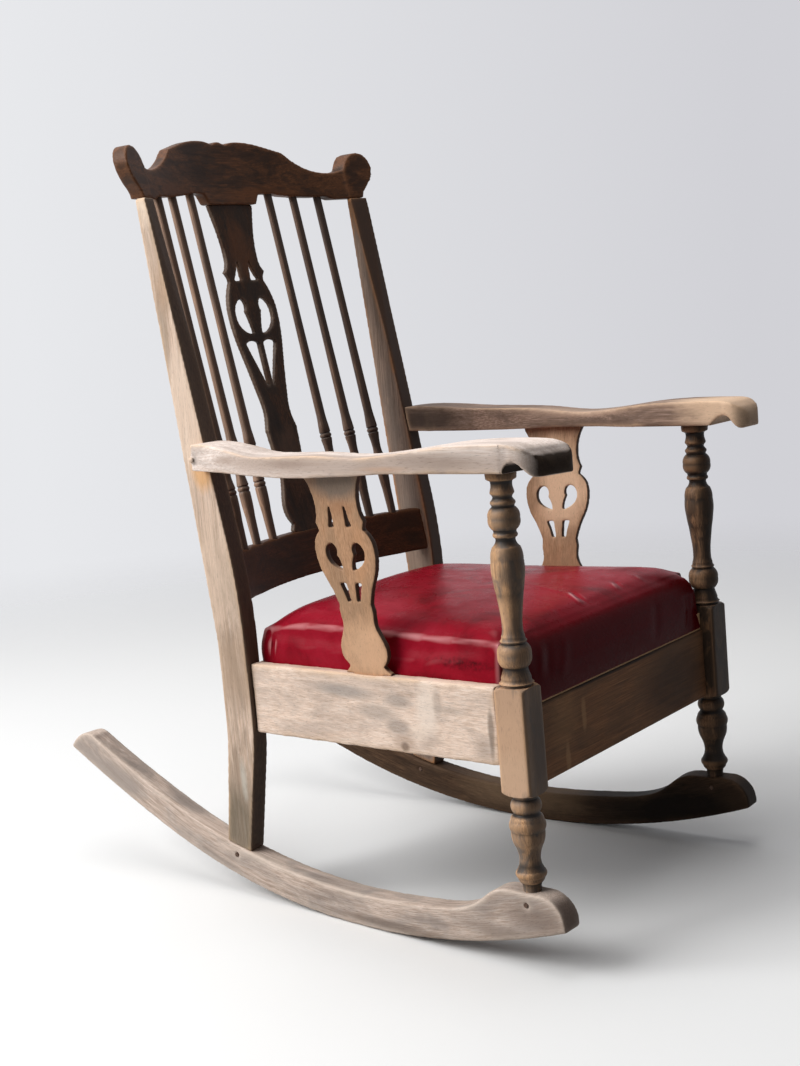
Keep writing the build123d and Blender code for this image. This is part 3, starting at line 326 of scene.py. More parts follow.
# brown only where it is rubbed
backSplatWood = agedWood("nearly black maple of the back splat", {
    "bare": ("#261a13", "#432d1f", "#5b3e2c"), "stained": 0.42, "stain": "#20160f", "stainDark": "#0e0a07",
    "film": ("#33271f", 0.7), "filmFrom": (0.46, 0.56), "banded": 0.8, "rubAndSheen": ("#a08a78", 0.7), "rough": 0.42,
    "paintedFrontShade": 0.0, "specular": 0.12, "cloud": (0.03, 0.03, 0.06),
    "marks": (
        ((0, 620, 620), (30, 40, 60), "#71492f", 0.5), ((0, 620, 470), (60, 40, 60), "#1a120e", 0.6),
        ((0, 560, 300), (40, 40, 50), "#6a5648", 0.4),
    ),
})
# warm honey, with painted shade just under the arm
armSplatWood = agedWood("warm sanded maple of the arm splats", {
    "bare": ("#946d4d", "#b58b69", "#c99e7b"), "film": ("#94795f", 0.5), "stain": "#8a6546",
    "rubAndSheen": ("#8a6547", 0.5), "rough": 0.55, "front": "#3a281c", "paintedFrontShade": 0.97,
    "marks": (
        # the first mark is painted shade just under the arm
        ((-270, 240, 292), (40, 70, 30), "#6f665d", 0.8), ((-270, 240, 255), (40, 26, 14), "#a17555", 0.6),
        ((-262, 240, 60), (40, 60, 60), "#dcb08c", 0.7), ((-262, 222, 190), (40, 14, 60), "#c08f68", 0.5),
        ((270, 240, 60), (40, 60, 60), "#b07b5e", 0.5), ((270, 240, 200), (40, 60, 90), "#f0cca9", 0.7),
    ),
})
# driftwood grey with a knot and a dark tip
rockerWood = agedWood("grey weathered maple of the right rocker", {
    "bare": ("#a08a7a", "#c8b3a4", "#e0d1c6"), "film": ("#9d9189", 0.85), "rubAndSheen": ("#dcc9b8", 0.6),
    "stained": 0.14, "stain": "#6a5646", "banded": 0.4, "paintedFrontShade": 0.8,
    "marks": (
        ((-265, -98, -268), (40, 20, 30), "#33271e", 0.9),  # the tip
        ((-265, -20, -262), (30, 70, 30), "#76655a", 0.7), ((-265, 30, -290), (30, 100, 14), "#86776c", 0.6),
        ((-266, 420, -269), (22, 12, 7), "#4b3a2f", 0.85),  # a knot
        ((-266, 420, -269), (22, 40, 14), "#8b7566", 0.5), ((-265, 220, -318), (30, 190, 9), "#5d4d42", 0.6),
        ((-246, 380, -262), (14, 200, 20), "#d8c7b8", 0.4),
    ),
})
# painted shade: dark brown as if in the chair's shadow, black in front
shadedLeftRockerWood = agedWood("left rocker maple darkened by painted shade", {
    "bare": ("#32241a", "#4c3829", "#644c39"), "film": ("#3a2d23", 0.6), "banded": 0.7,
    "rubAndSheen": ("#6d543f", 0.4), "stained": 0.3, "stain": "#291d15", "stainDark": "#150f0a", "front": "#1f1610",
    "specular": 0.1,
    "marks": (
        # the first mark is a near black painted shadow under the seat
        ((257, 60, -290), (70, 250, 70), "#0e0906", 0.95), ((240, 330, -290), (60, 140, 40), "#806851", 0.6),
        ((240, -60, -262), (16, 60, 26), "#3f3024", 0.6),
    ),
})
# gold beads, grey hollows and a clean sanded square
turnedWood = agedWood("turned maple of the right front post", {
    "bare": ("#937256", "#c4986f", "#dab189"), "stained": 0.22, "stain": "#5e5048", "stainDark": "#2e2925",
    "film": ("#6c635c", 0.9), "banded": 0.5, "rubAndSheen": ("#c99a6c", 0.9), "grime": "#201b18", "grimy": 1.0,
    "rough": 0.48, "front": "#40332b", "paintedFrontShade": 0.75, "specular": 0.2, "cloud": (0.02, 0.02, 0.05),
    "marks": (
        ((-281, 0, 8), (20, 60, 44), "#bd9a7e", 1.0),  # the sanded faces of the square
        ((-281, 0, -36), (20, 60, 50), "#c39f82", 1.0), ((-281, 0, -82), (20, 60, 44), "#c8a588", 1.0),
        ((-250, -24, -36), (22, 9, 90), "#5d4433", 0.9),
        ((-257, 0, 301), (40, 40, 15), "#40362f", 0.95),  # the dark ring under the arm
        ((-270, 0, 128), (10, 18, 40), "#d3a57b", 0.6), ((-270, -8, 176), (14, 14, 16), "#5e5650", 0.6),
    ),
})
# dark, with gold on the beads only
farTurnedWood = agedWood("turned maple of the left front post", {
    "bare": ("#4c392b", "#7a5c45", "#957354"), "stained": 0.28, "stain": "#3a2c22", "stainDark": "#1d1611",
    "film": ("#3b322b", 0.9), "banded": 0.6, "rubAndSheen": ("#a57c58", 0.8), "grime": "#1a1410", "grimy": 1.0,
    "rough": 0.48, "front": "#241a13", "paintedFrontShade": 0.85, "specular": 0.12, "cloud": (0.02, 0.02, 0.05),
    "filmFrom": (0.42, 0.54),
})
# brown sticks with lighter beads
spindleWood = agedWood("turned maple of the right spindles", {
    "bare": ("#6b5040", "#9b7a63", "#b99780"), "stained": 0.16, "stain": "#4a3529", "banded": 0.5,
    "film": ("#66564b", 0.75), "rubAndSheen": ("#bd9270", 0.6), "grimy": 1.0, "rough": 0.5, "front": "#35251b",
    "paintedFrontShade": 0.8, "cloud": (0.02, 0.02, 0.12),
})
# the same, darker and greyer
farSpindleWood = agedWood("turned maple of the left spindles", {
    "bare": ("#4d392d", "#7c5f4c", "#9a7b66"), "stained": 0.26, "stain": "#33241b", "banded": 0.6,
    "film": ("#443731", 0.8), "rubAndSheen": ("#a8866e", 0.6), "grimy": 1.0, "rough": 0.5, "front": "#241911",
    "paintedFrontShade": 0.85, "cloud": (0.02, 0.02, 0.12),
})
print("wood materials made")


# sawn pieces, made again from their solids with softly worn edges
def readArray(items, field, width=3, kind=float):
    values = np.empty(len(items) * width, kind)
    items.foreach_get(field, values)
    return values.reshape(-1, width)


def meshArrays(mesh):
    edges = readArray(mesh.edges, "vertices", 2, np.int64)
    return readArray(mesh.vertices, "co"), edges, readArray(mesh.vertices, "normal")


def setPoints(mesh, points):
    mesh.vertices.foreach_set("co", points.ravel())
    mesh.update()


def relaxed(points, edges, rounds):
    count = np.bincount(edges.ravel(), minlength=len(points))[:, None]
    soft = points.copy()
    for _ in range(rounds):
        total = np.zeros_like(soft)
        for axis in range(3):
            for a, b in (edges.T, edges.T[::-1]):
                total[:, axis] += np.bincount(a, soft[b, axis], len(points))
        soft += 0.5 * (total / count - soft)
    return soft


def fade(value, low, high):
    t = np.clip((value - low) / (high - low), 0, 1)
    return t * t * (3 - 2 * t)


def writeAttribute(mesh, name, values):
    values = np.asarray(values, np.float32)
    kind, field = ("FLOAT_VECTOR", "vector") if values.ndim == 2 else ("FLOAT", "value")
    mesh.attributes.new(name, kind, "POINT").data.foreach_set(field, values.ravel())


# how far each point stands out of its surroundings, for the rubbing and the grime
def writeRelief(mesh, rounds, depth):
    points, edges, normals = meshArrays(mesh)
    lifted = ((points - relaxed(points, edges, rounds)) * normals).sum(1)
    writeAttribute(mesh, "relief", np.clip(lifted / depth, -1, 1))


def placeObject(name, data):
    piece = bpy.data.objects.new(name, data)
    scene.collection.objects.link(piece)
    return piece


def applied(piece):
    mesh = bpy.data.meshes.new_from_object(piece.evaluated_get(bpy.context.evaluated_depsgraph_get()))
    piece.modifiers.clear()
    piece.data = mesh
    return mesh


def voxelRemesh(piece, size):
    remesh = piece.modifiers.new("remesh", "REMESH")
    remesh.mode = "VOXEL"
    remesh.voxel_size = size
    bpy.context.view_layer.update()
    return applied(piece)


def smoothShade(mesh):
    mesh.polygons.foreach_set("use_smooth", np.ones(len(mesh.polygons), bool))


def finishPiece(piece, material, body, slotName, *replaced):
    piece.data.materials.clear()
    piece.data.materials.append(material)
    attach(piece, body)
    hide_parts(*replaced)


signs = {"left": 1, "right": -1}  # the chair's own left and right
rockerArc = {"y": 278.0, "z": 685.5, "radius": 1015.0}  # the rockers' grain bends round this


def alongArc(local):
    x, y, z = local.T
    y, z = y - rockerArc["y"], rockerArc["z"] - z
    return np.stack([x, np.hypot(y, z), np.arctan2(y, z) * rockerArc["radius"]], 1)


grainWays = {
    "x": lambda local: local[:, [1, 2, 0]],
    "y": lambda local: local[:, [0, 2, 1]],
    "z": lambda local: local,
    "arc": alongArc,
}
sawnPieces = {
    "left_rocker": (2.2, "arc", shadedLeftRockerWood),  # voxel size in millimetres, grain, wood
    "right_rocker": (2.2, "arc", rockerWood),
    "left_back_post": (2.0, "z", farPostWood),
    "right_back_post": (2.0, "z", postWood),
    "crest_rail": (2.0, "x", crestWood),
    "lower_back_rail": (2.2, "x", lowerRailWood),
    "back_splat": (1.4, "z", backSplatWood),
    "left_arm": (2.0, "y", farArmWood),
    "right_arm": (2.0, "y", armWood),
    "left_arm_splat": (1.3, "z", armSplatWood),
    "right_arm_splat": (1.3, "z", armSplatWood),
    "front_seat_rail": (2.4, "x", frontRailWood),
    "left_seat_rail": (2.4, "y", sideRailWood),
    "right_seat_rail": (2.4, "y", sideRailWood),
    "back_seat_rail": (3.2, "x", frontRailWood),
}
edgeWear = {
    "rounds": 3,
    "relief": (16, 0.0013),  # rounds, and depth in metres
    "grainStep": (0.37, 0.53, 1.31),  # moves the pattern on from one piece to the next
}
armWear = {  # drawing millimetres
    "plug": ((268, 506.8, 324), 4.7, 14, 32),  # over the screw: centre, radius, length, sides
    "underside": 302.0, "thick": 35.0, "mostShare": 1.5,
    "along": (-98, -86, -74, -50, 150, 205, 243, 281, 326, 348, 379, 430, 474, 488),
    "topDown": (13, 6, 2, 0, 0, 2, 5, 10, 14, 15, 17, 11, 5, 3),  # how far the top is planed down there
    "footDown": (0, 0, 0, 0, 0, 3, 4, 5, 5, 4, 3, 1, 0, 0),  # and how far the underside hangs
    "topSoft": (-18, -9, 0, 9, 18),  # the top's planing is averaged over these
    "wornBy": {"left": 0.45, "right": 1.0},  # the left arm has worn less
    "nose": ((-94, -78), (314, 348), 7.5),  # it hangs: from y to y, fading over z, by so much
    "cove": ((-72, 17), (322, 12), 3.2),  # deeper behind the nose: y and z with reach, by so much
    "noseBack": (-75, -10),  # in front of this y the arm stands back
    "standBack": {"left": (9.0, 7.0), "right": (9.0, 33.0)},  # by so much inside and outside
}


def plugScrew(piece, side):
    (x, y, z), radius, length, sides = armWear["plug"]
    mesh = bmesh.new()
    mesh.from_mesh(piece.data)
    lie = toRow @ Matrix.Translation((side * x, y, z)) @ Matrix.Rotation(math.radians(90), 4, "Y")
    bmesh.ops.create_cone(
        mesh, cap_ends=True, segments=sides, radius1=radius, radius2=radius, depth=length, matrix=lie
    )
    mesh.to_mesh(piece.data)
    mesh.free()


def shapeArm(points, side):
    wear = armWear
    local = moved(points, toDrawing)
    x, y, z = local.T
    share = np.clip((z - wear["underside"]) / wear["thick"], 0, wear["mostShare"])
    soft = wear["topSoft"]
    top = sum(np.interp(y + shift, wear["along"], wear["topDown"]) for shift in soft) / len(soft)
    foot = np.interp(y, wear["along"], wear["footDown"])
    down = (top * share + foot * np.clip(1 - share, 0, 1)) * wear["wornBy"][side]
    (noseEnd, noseStart), (low, high), drop = wear["nose"]
    down += drop * (1 - fade(y, noseEnd, noseStart)) * (1 - fade(z, low, high))
    (coveY, reachY), (coveZ, reachZ), lift = wear["cove"]
    down -= lift * np.exp(-((y - coveY) / reachY) ** 2 - ((z - coveZ) / reachZ) ** 2)
    z -= down
    backEnd, backStart = wear["noseBack"]
    inside, outside = wear["standBack"][side]
    width = np.abs(x)
    inner, outer = width[y < backEnd].min(), width[y < backEnd].max()
    back = inside + (outside - inside) * np.clip((width - inner) / (outer - inner), 0, 1)
    y += back * (1 - fade(y, backEnd, backStart))
    return moved(local, toRow)


for seed, (name, (voxel, way, material)) in enumerate(sawnPieces.items()):
    piece = placeObject(name + "_worn", nodes[name].data.copy())
    side, isArm = name.split("_")[0], name.endswith("_arm")
    if isArm:
        plugScrew(piece, signs[side])
    mesh = voxelRemesh(piece, voxel / 1000)
    points, edges, _ = meshArrays(mesh)
    points = relaxed(points, edges, edgeWear["rounds"])
    if isArm:
        points = shapeArm(points, side)
    setPoints(mesh, points)
    grain = grainWays[way](moved(points, toDrawing)) / 1000
    writeAttribute(mesh, "grain", grain + seed * np.array(edgeWear["grainStep"]))
    writeRelief(mesh, *edgeWear["relief"])
    smoothShade(mesh)
    finishPiece(piece, material, "chair", "stained_hardwood", name)
print("sawn pieces worn:", len(sawnPieces))


# turned pieces, made again smooth: stations are (height, radius, fullness of the arc up to it) in millimetres
turning = {
    "arcStep": 1.1, "straightStep": 9, "mostSteps": 14,  # how finely the profile is cut
    "reliefReach": 7.0, "reliefDepth": 1.8,  # a bead stands out of what lies within this reach
    "corner": 1.25, "cornerRub": 5,  # the square's corners are rubbed past so many half widths
    "squareness": 18,
    "grainStep": (0.41, 0.23, 0.87),
}
frontPostTurning = {
    "woods": {"left": farTurnedWood, "right": turnedWood},
    "lower": [
        (-231, 12), (-220, 13, -0.6), (-213, 17.5, 1), (-203, 17.5, 2.5), (-197, 14.5), (-190, 13.3),
        (-172, 17.5, -1), (-152, 21.5, 1.5), (-138, 21.5, 2), (-131, 17.5, 0.8), (-129, 16.5),
        (-127, 17.5), (-113, 18, 2), (-110, 15.5), (-104, 17),
    ],
    "square": [(-104, 20), (-96, 31.7, 2.5), (-60, 31.8), (-20, 31.8), (26, 31.7), (34, 20, 2.5)],
    "upper": [
        (34, 19), (38, 19), (38, 22), (45, 19, -1.2), (54, 16), (57, 15.5), (73, 21.5, 2.2),
        (88, 15.5, 2.2), (91, 17), (97, 14.8, -0.8), (108, 13, -0.6), (128, 14.2, -0.4), (150, 17),
        (168, 19.8, 0.3), (192, 20.4, 1), (208, 17.6, 1), (217, 12.3, -1), (220, 12.8),
        (222, 15.5, 0.6), (226, 14.2, 0.6), (229, 14.5), (243.5, 20, 2.3), (258, 14, 2.3), (260, 14.5),
        (266, 14, 1.6), (269, 12), (273, 14, -0.4), (276, 15.2, 0.5), (282, 13.6), (289, 13.8, -0.3),
        (291, 17, -0.3), (295, 19.2, 1), (300, 19.2, 0.4), (303, 17, 0.6), (304, 16),
    ],
    "spacing": 257,
    "squareHalf": 22,
    "segments": 72,
    "sharp": 50,  # degrees from which an edge stays crisp
}
spindleTurning = {
    "woods": {"left": farSpindleWood, "right": spindleWood},
    "stations": [
        (-2, 6.2), (40, 7.2), (76, 8.7, 0.5), (78, 7.5), (80, 8.8, 0.3), (83, 8.8, 0.4), (85, 7.5), (87, 8.9),
        (97, 7.4), (108, 6.7, -0.3), (118, 7.3), (129, 8.9), (131, 7.6), (133, 9, 0.3), (136, 9, 0.4),
        (138, 7.6), (140, 9), (152, 8.2), (175, 7.2, -0.4), (320, 6.3), (519, 6.35),
    ],
    "tops": (88, 136, 180), "feet": (88, 135.5, 178),  # how far from the middle
    "under": (702.3, 696.6, 695), "railTop": 180,  # heights that they reach between
    "bow": 520, "crestMiddle": 645, "railMiddle": 544,  # the curve of the two back rails in plan
    "segments": 40,
    "sharp": 38,
    "drawn": 517,  # length for which the stations are drawn
}


def turnedRings(stations):
    rings = [stations[0][:2]]
    for z, r, *fullness in stations[1:]:
        startZ, startR = rings[-1]
        length = math.hypot(z - startZ, r - startR)
        step = turning["arcStep"] if fullness else turning["straightStep"]
        most = turning["mostSteps"] if fullness else math.inf
        steps = max(1, min(most, round(length / step)))
        for k in range(1, steps + 1):
            t = k / steps
            bulge = 4 * t * (1 - t) * sum(fullness) / length
            ringZ = startZ + t * (z - startZ) - bulge * (r - startR)
            rings.append((ringZ, startR + t * (r - startR) + bulge * (z - startZ)))
    return rings


def squareRadius(angle, half):
    power = turning["squareness"]
    return half / (abs(math.cos(angle)) ** power + abs(math.sin(angle)) ** power) ** (1 / power)


def ringMesh(name, rings, matrix=None):
    mesh = bmesh.new()
    previous = None
    for points in rings:
        ring = [mesh.verts.new(p) for p in points]
        if previous:
            for k in range(len(ring)):
                after = (k + 1) % len(ring)
                mesh.faces.new((previous[k], previous[after], ring[after], ring[k]))
        else:
            mesh.faces.new(list(reversed(ring)))
        previous = ring
    mesh.faces.new(previous)
    if matrix:
        bmesh.ops.transform(mesh, matrix=matrix, verts=mesh.verts)
    data = bpy.data.meshes.new(name)
    mesh.to_mesh(data)
    mesh.free()
    return data


def latheMesh(name, sections, look):
    circles, lifted = [], []
    segments, half = look["segments"], look.get("squareHalf")
    angles = [2 * math.pi * (k + 0.5) / segments for k in range(segments)]
    for kind, rings in sections:
        heights, radii = np.array(rings).T
        for z, r in rings:
            weight = np.exp(-((heights - z) / turning["reliefReach"]) ** 2)
            lift = (r - (weight * radii).sum() / weight.sum()) / turning["reliefDepth"]
            reaches = [min(r, squareRadius(angle, half)) if kind == "square" else r for angle in angles]
            circles.append([(q * math.cos(angle), q * math.sin(angle), z) for q, angle in zip(reaches, angles)])
            if kind == "square":
                lifted += [max(0.0, q / half - turning["corner"]) * turning["cornerRub"] for q in reaches]
            else:
                lifted += [lift] * segments
    data = ringMesh(name, circles)
    writeAttribute(data, "relief", np.clip(lifted, -1, 1))
    return data


def turnPiece(nodeName, sections, look, matrix, seed):
    mesh = latheMesh(nodeName + "_turned", sections, look)
    points = meshArrays(mesh)[0]
    writeAttribute(mesh, "grain", points / 1000 + seed * np.array(turning["grainStep"]))
    smoothShade(mesh)
    mesh.transform(matrix)
    mesh.set_sharp_from_angle(angle=math.radians(look["sharp"]))
    wood = look["woods"][nodeName.split("_")[0]]
    finishPiece(placeObject(nodeName + "_turned", mesh), wood, "chair", "stained_hardwood", nodeName)


def bowedY(middle, x):
    return middle - spindleTurning["bow"] + math.sqrt(spindleTurning["bow"] ** 2 - x ** 2)


for side, sign in signs.items():
    look = frontPostTurning
    sections = [(kind, turnedRings(look[kind])) for kind in ("lower", "square", "upper")]
    matrix = toRow @ Matrix.Translation((sign * look["spacing"], 0, 0))
    turnPiece(side + "_front_post", sections, look, matrix, 3 + sign)

for side, sign in signs.items():
    look = spindleTurning
    for number, (foot, top, under) in enumerate(zip(look["feet"], look["tops"], look["under"])):
        start = Vector((sign * foot, bowedY(look["railMiddle"], foot), look["railTop"]))
        along = Vector((sign * top, bowedY(look["crestMiddle"], top), under)) - start
        stretch = along.length / look["drawn"]
        rings = turnedRings([(z * stretch, *rest) for z, *rest in look["stations"]])
        matrix = toRow @ Matrix.Translation(start) @ along.to_track_quat("Z", "Y").to_matrix().to_4x4()
        turnPiece(f"{side}_spindle_{number + 1}", [("round", rings)], look, matrix, 11 + number * 2 + sign)
print("turned pieces made")


# the seat: a stuffed pad under red leathercloth, blown up by the cloth solver and then creased
seatLook = {
    "front": -5.3, "rear": 462.0, "foot": 0.6,  # drawing millimetres
    "blockX": 232.5, "blockY": 24.5,  # notches round the front posts
    "sideFront": 252.4, "sideSlope": 0.0837,  # half width behind the notch and how it narrows
    "edgeTop": 86.0, "crown": 100.0, "crownCurve": 2.4,
    "frontRoll": 34.0, "sideRoll": 5.0,  # how far the top edges are rounded
    "inset": 2.6, "footInset": 0.2, "insetFrom": 30,  # the pad starts smaller, because it swells
    "cuts": (3, 2, 36, 36, 36, 2, 3, 36),  # points along each stretch of its outline
    "wallRings": 24, "topRings": 12,
    "voxel": 0.0045,  # metres
    "heldBelow": 14,
    "frames": 20,
    "cloth": {
        "quality": 6, "mass": 0.35, "tension_stiffness": 14, "compression_stiffness": 10,
        "bending_stiffness": 0.6, "use_pressure": True, "uniform_pressure_force": 3.0,
        "vertex_group_mass": "held",
    },
    "calmed": 14,  # rounds that even the swelling out
    "cap": 0.0055,  # the most that a point may move, in metres
    "softened": 2,
    "packed": (  # x, y, reach and depth; the stuffing has packed down there
        (-216, 455, 50, 14.0), (216, 455, 46, 11.0), (-246, 30, 40, 4.0), (246, 30, 40, 3.0),
        (-120, 462, 90, -3.0), (60, 462, 120, -6.0),
    ),
    "packedOver": (35, 90),  # heights over which it sets in
    "bulge": (214, 460, 26, 40, 30),  # rear corners: x, y, reach, height and its reach
    "bulgeOut": (2.8, 6.3),  # how far they stand out, to the side and back
    "creases": [  # start, end, width, height and wander
        ((-245, 30, 85), (-232, 190, 86), 2.6, 1.5, 0.4),  # the skin stretched over the long top edges
        ((-236, 170, 86), (-218, 400, 86), 2.6, 1.5, 0.4), ((245, 30, 85), (232, 190, 86), 2.6, 1.3, 0.4),
        ((236, 170, 86), (218, 400, 86), 2.6, 1.3, 0.4),
        ((-224, 437, 78), (-210, 441, 6), 3.0, -3.6, 1.0),  # pleats at the rear corners
        ((-214, 447, 72), (-202, 460, 12), 4.0, -2.6, 1.0), ((-232, 424, 60), (-226, 430, 6), 4.0, -1.8, 1.0),
        ((224, 437, 78), (210, 441, 6), 3.0, -3.4, 1.0), ((214, 447, 72), (202, 460, 12), 4.0, -2.6, 1.0),
        ((-1, 76, 98), (-58, -20, 90), 4.0, 1.9, 6.0),  # folds that lean to the right on their way to the front
        ((12, 80, 98), (-44, -20, 90), 4.5, -1.7, 6.0), ((-91, 46, 97), (-122, -22, 88), 3.5, 1.7, 5.0),
        ((-80, 48, 97), (-110, -22, 88), 4.0, -1.5, 5.0), ((-150, 36, 95), (-172, -16, 84), 3.5, 1.6, 3.0),
        ((88, 60, 98), (46, -24, 90), 4.5, 1.8, 6.0), ((102, 64, 98), (60, -24, 90), 4.5, -1.5, 6.0),
        ((150, 60, 97), (120, -20, 88), 5.0, 0.9, 2.5),
        ((40, 190, 101), (-20, 60, 99), 7.0, 0.9, 5.0),  # a slack fold on the top
        ((-178, -4, 84), (-210, -4, 30), 7.0, 1.1, 3.0),  # pulls down the front and the sides
        ((-162, -4, 84), (-194, -4, 26), 8.0, -1.0, 3.0), ((-120, -4, 80), (-164, -4, 16), 9.0, 0.8, 3.0),
        ((206, -4, 60), (186, -4, 4), 7.0, -1.3, 2.0), ((120, -4, 70), (84, -4, 14), 10.0, -0.8, 3.0),
        ((-246, 120, 70), (-250, 200, 30), 7.0, -0.7, 4.0), ((-240, 300, 66), (-232, 400, 30), 8.0, -0.8, 4.0),
        ((-150, -6, 30), (60, -6, 22), 8.0, -0.7, 4.0),
    ],
    "footLevel": 3.2, "underneath": -0.6,  # faces below and facing down as much as this come off
    "relief": (10, 0.0012),
    "skin": 0.0016,
}


def rolledIn(z, radius, reach):
    above = z - seatLook["edgeTop"] + radius
    if reach < 1 or above >= radius:
        return radius
    return radius - math.sqrt(radius ** 2 - max(0.0, above) ** 2)


def seatRing(z, reach=1.0):
    look = seatLook
    inset = look["footInset"] + (look["inset"] - look["footInset"]) * min(1.0, z / look["insetFrom"])
    sideIn = rolledIn(z, look["sideRoll"], reach)
    rear = look["rear"] - inset - sideIn
    front = look["front"] + inset + rolledIn(z, look["frontRoll"], reach)
    notchY = max(front, look["blockY"] + inset)
    blockX = look["blockX"] - inset
    half = [
        (blockX, front),
        (blockX, notchY),
        (look["sideFront"] - inset - sideIn, notchY),
        (look["sideFront"] - look["sideSlope"] * (rear - look["blockY"]) - inset - sideIn, rear),
    ]
    corners = [Vector(p) for p in half] + [Vector((-x, y)) for x, y in reversed(half)]
    ring = []
    for a, b, steps in zip(corners, corners[1:] + corners[:1], look["cuts"]):
        ring += [a.lerp(b, k / steps) for k in range(steps)]
    centre = Vector((0, (front + rear) / 2))
    return [(*(centre + (p - centre) * reach), z) for p in ring]


def seatBlank():
    look = seatLook
    wall, rise, most = look["edgeTop"] - look["foot"], look["crown"] - look["edgeTop"], look["wallRings"]
    rings = [seatRing(look["foot"] + wall * math.sin(math.pi / 2 * k / most)) for k in range(most + 1)]
    for k in range(1, look["topRings"]):
        reach = 1 - k / look["topRings"]
        rings.append(seatRing(look["edgeTop"] + rise * (1 - reach ** look["crownCurve"]), reach))
    return placeObject("seat_pad", ringMesh("seatPad", rings, toRow))


def creaseWave(local, start, end, width, depth, wander):
    a, b = np.array(start, float), np.array(end, float)
    along = b - a
    length = np.linalg.norm(along)
    along /= length
    offset = local - a
    t = offset @ along
    across = offset - t[:, None] * along
    swing = wander * np.sin(t / length * 5.0)
    sideways = np.cross(along, (0.0, 0.0, 1.0))
    sideways /= max(np.linalg.norm(sideways), 1e-6)
    distance = np.linalg.norm(across - swing[:, None] * sideways, axis=1)
    taper = fade(t, -0.05 * length, 0.2 * length) * (1 - fade(t, 0.7 * length, 1.05 * length))
    return depth * taper * np.exp(-((distance / width) ** 2))


look = seatLook
pad = seatBlank()
mesh = voxelRemesh(pad, look["voxel"])
rest, edges, _ = meshArrays(mesh)
points = rest.copy()
held = pad.vertex_groups.new(name="held")
for index in np.nonzero(moved(rest, toDrawing)[:, 2] < look["heldBelow"])[0]:
    held.add([int(index)], 1.0, "REPLACE")
cloth = pad.modifiers.new("cloth", "CLOTH")
for setting, value in look["cloth"].items():
    setattr(cloth.settings, setting, value)
cloth.settings.effector_weights.gravity = 0
cloth.point_cache.frame_start = 1
cloth.point_cache.frame_end = look["frames"]
for step in range(1, look["frames"] + 1):
    scene.frame_set(step)
mesh = applied(pad)
scene.frame_set(1)
blown, edges, _ = meshArrays(mesh)
move = relaxed(blown - rest, edges, look["calmed"])
reach = np.linalg.norm(move, axis=1)
capped = look["cap"] * np.tanh(reach / look["cap"])
points = rest + move * (capped / np.maximum(reach, 1e-9))[:, None]
setPoints(mesh, points)
print("seat blown up")

divide = pad.modifiers.new("finer", "SUBSURF")
divide.levels = divide.render_levels = 1
mesh = applied(pad)
points, edges, _ = meshArrays(mesh)
local = moved(relaxed(points, edges, look["softened"]), toDrawing)
across, along, high = local.T
for x, y, reach, drop in look["packed"]:
    away = np.hypot(across - x, along - y) / reach
    high -= drop * np.exp(-away ** 2) * fade(high, *look["packedOver"])
cornerX, cornerY, reach, middle, height = look["bulge"]
sideOut, backOut = look["bulgeOut"]
for side in (-1, 1):
    away = np.hypot(across - side * cornerX, along - cornerY) / reach
    swell = np.exp(-away ** 2 - ((high - middle) / height) ** 2)
    across += side * sideOut * swell
    along += backOut * swell
setPoints(mesh, moved(local, toRow))
points, _, normals = meshArrays(mesh)
local = moved(points, toDrawing)
offset = sum(creaseWave(local, *crease) for crease in look["creases"])
setPoints(mesh, points + normals * (offset / 1000)[:, None])

# the bottom comes off, so that the skin ends at the foot of the pad, and it gets thicker inwards
cut = bmesh.new()
cut.from_mesh(mesh)
level, tilt = look["footLevel"], look["underneath"]
under = [f for f in cut.faces if (toDrawing @ f.calc_center_median()).z < level and f.normal.z < tilt]
bmesh.ops.delete(cut, geom=under, context="FACES")
cut.to_mesh(mesh)
cut.free()
writeRelief(mesh, *look["relief"])
smoothShade(mesh)
skin = pad.modifiers.new("skin", "SOLIDIFY")
skin.thickness = look["skin"]
skin.offset = -1

# glossy deep crimson with a fine pebble, a painted highlight along its stretched edges, painted shade on the
# front, and dirty low on the sides
leatherLook = {
    # the pale pink is a painted highlight for raised edges; the colour on the next line is a painted shade for
    # the front
    "red": "#8c1122", "deep": "#5c0812", "worn": "#9e1f31", "rubAndSheen": "#e2a3a4", "dirtAndShade": "#3a0c10",
    "front": "#470206",
    "mottle": (0.11, 5, 0.6, 0.3),  # sizes in metres, detail, roughness, distortion
    "scuff": (0.03, 6, 0.65, 0.6),
    "speck": (0.006, 4, 0.6),
    "wrinkle": ((0.012, 0.03, 0.012), 4, 0.55, 1.5),
    "pebble": 0.0016,  # width of the embossed grain in metres
    "pebbleBump": (0.15, 0.0004), "wrinkleBump": (0.12, 0.0014),  # strength and depth in metres
    "scuffed": 0.4,
    "rough": (0.20, 0.38),
    "ior": 1.5, "specular": 0.03,
    "dirtAndShadeMarks": (  # centre and reach in drawing millimetres, strength
        ((-256, 100, 54), (20, 80, 10), 0.85), ((-256, 150, 30), (20, 60, 12), 0.6),
        ((-246, 380, 36), (24, 50, 18), 0.6), ((-60, 150, 100), (110, 50, 14), 0.15),
        # the last mark is painted shade along the foot of the front, above the rail
        ((-232, -4, 60), (14, 12, 16), 0.5), ((0, -5, 4), (260, 10, 5), 0.6),
    ),
}


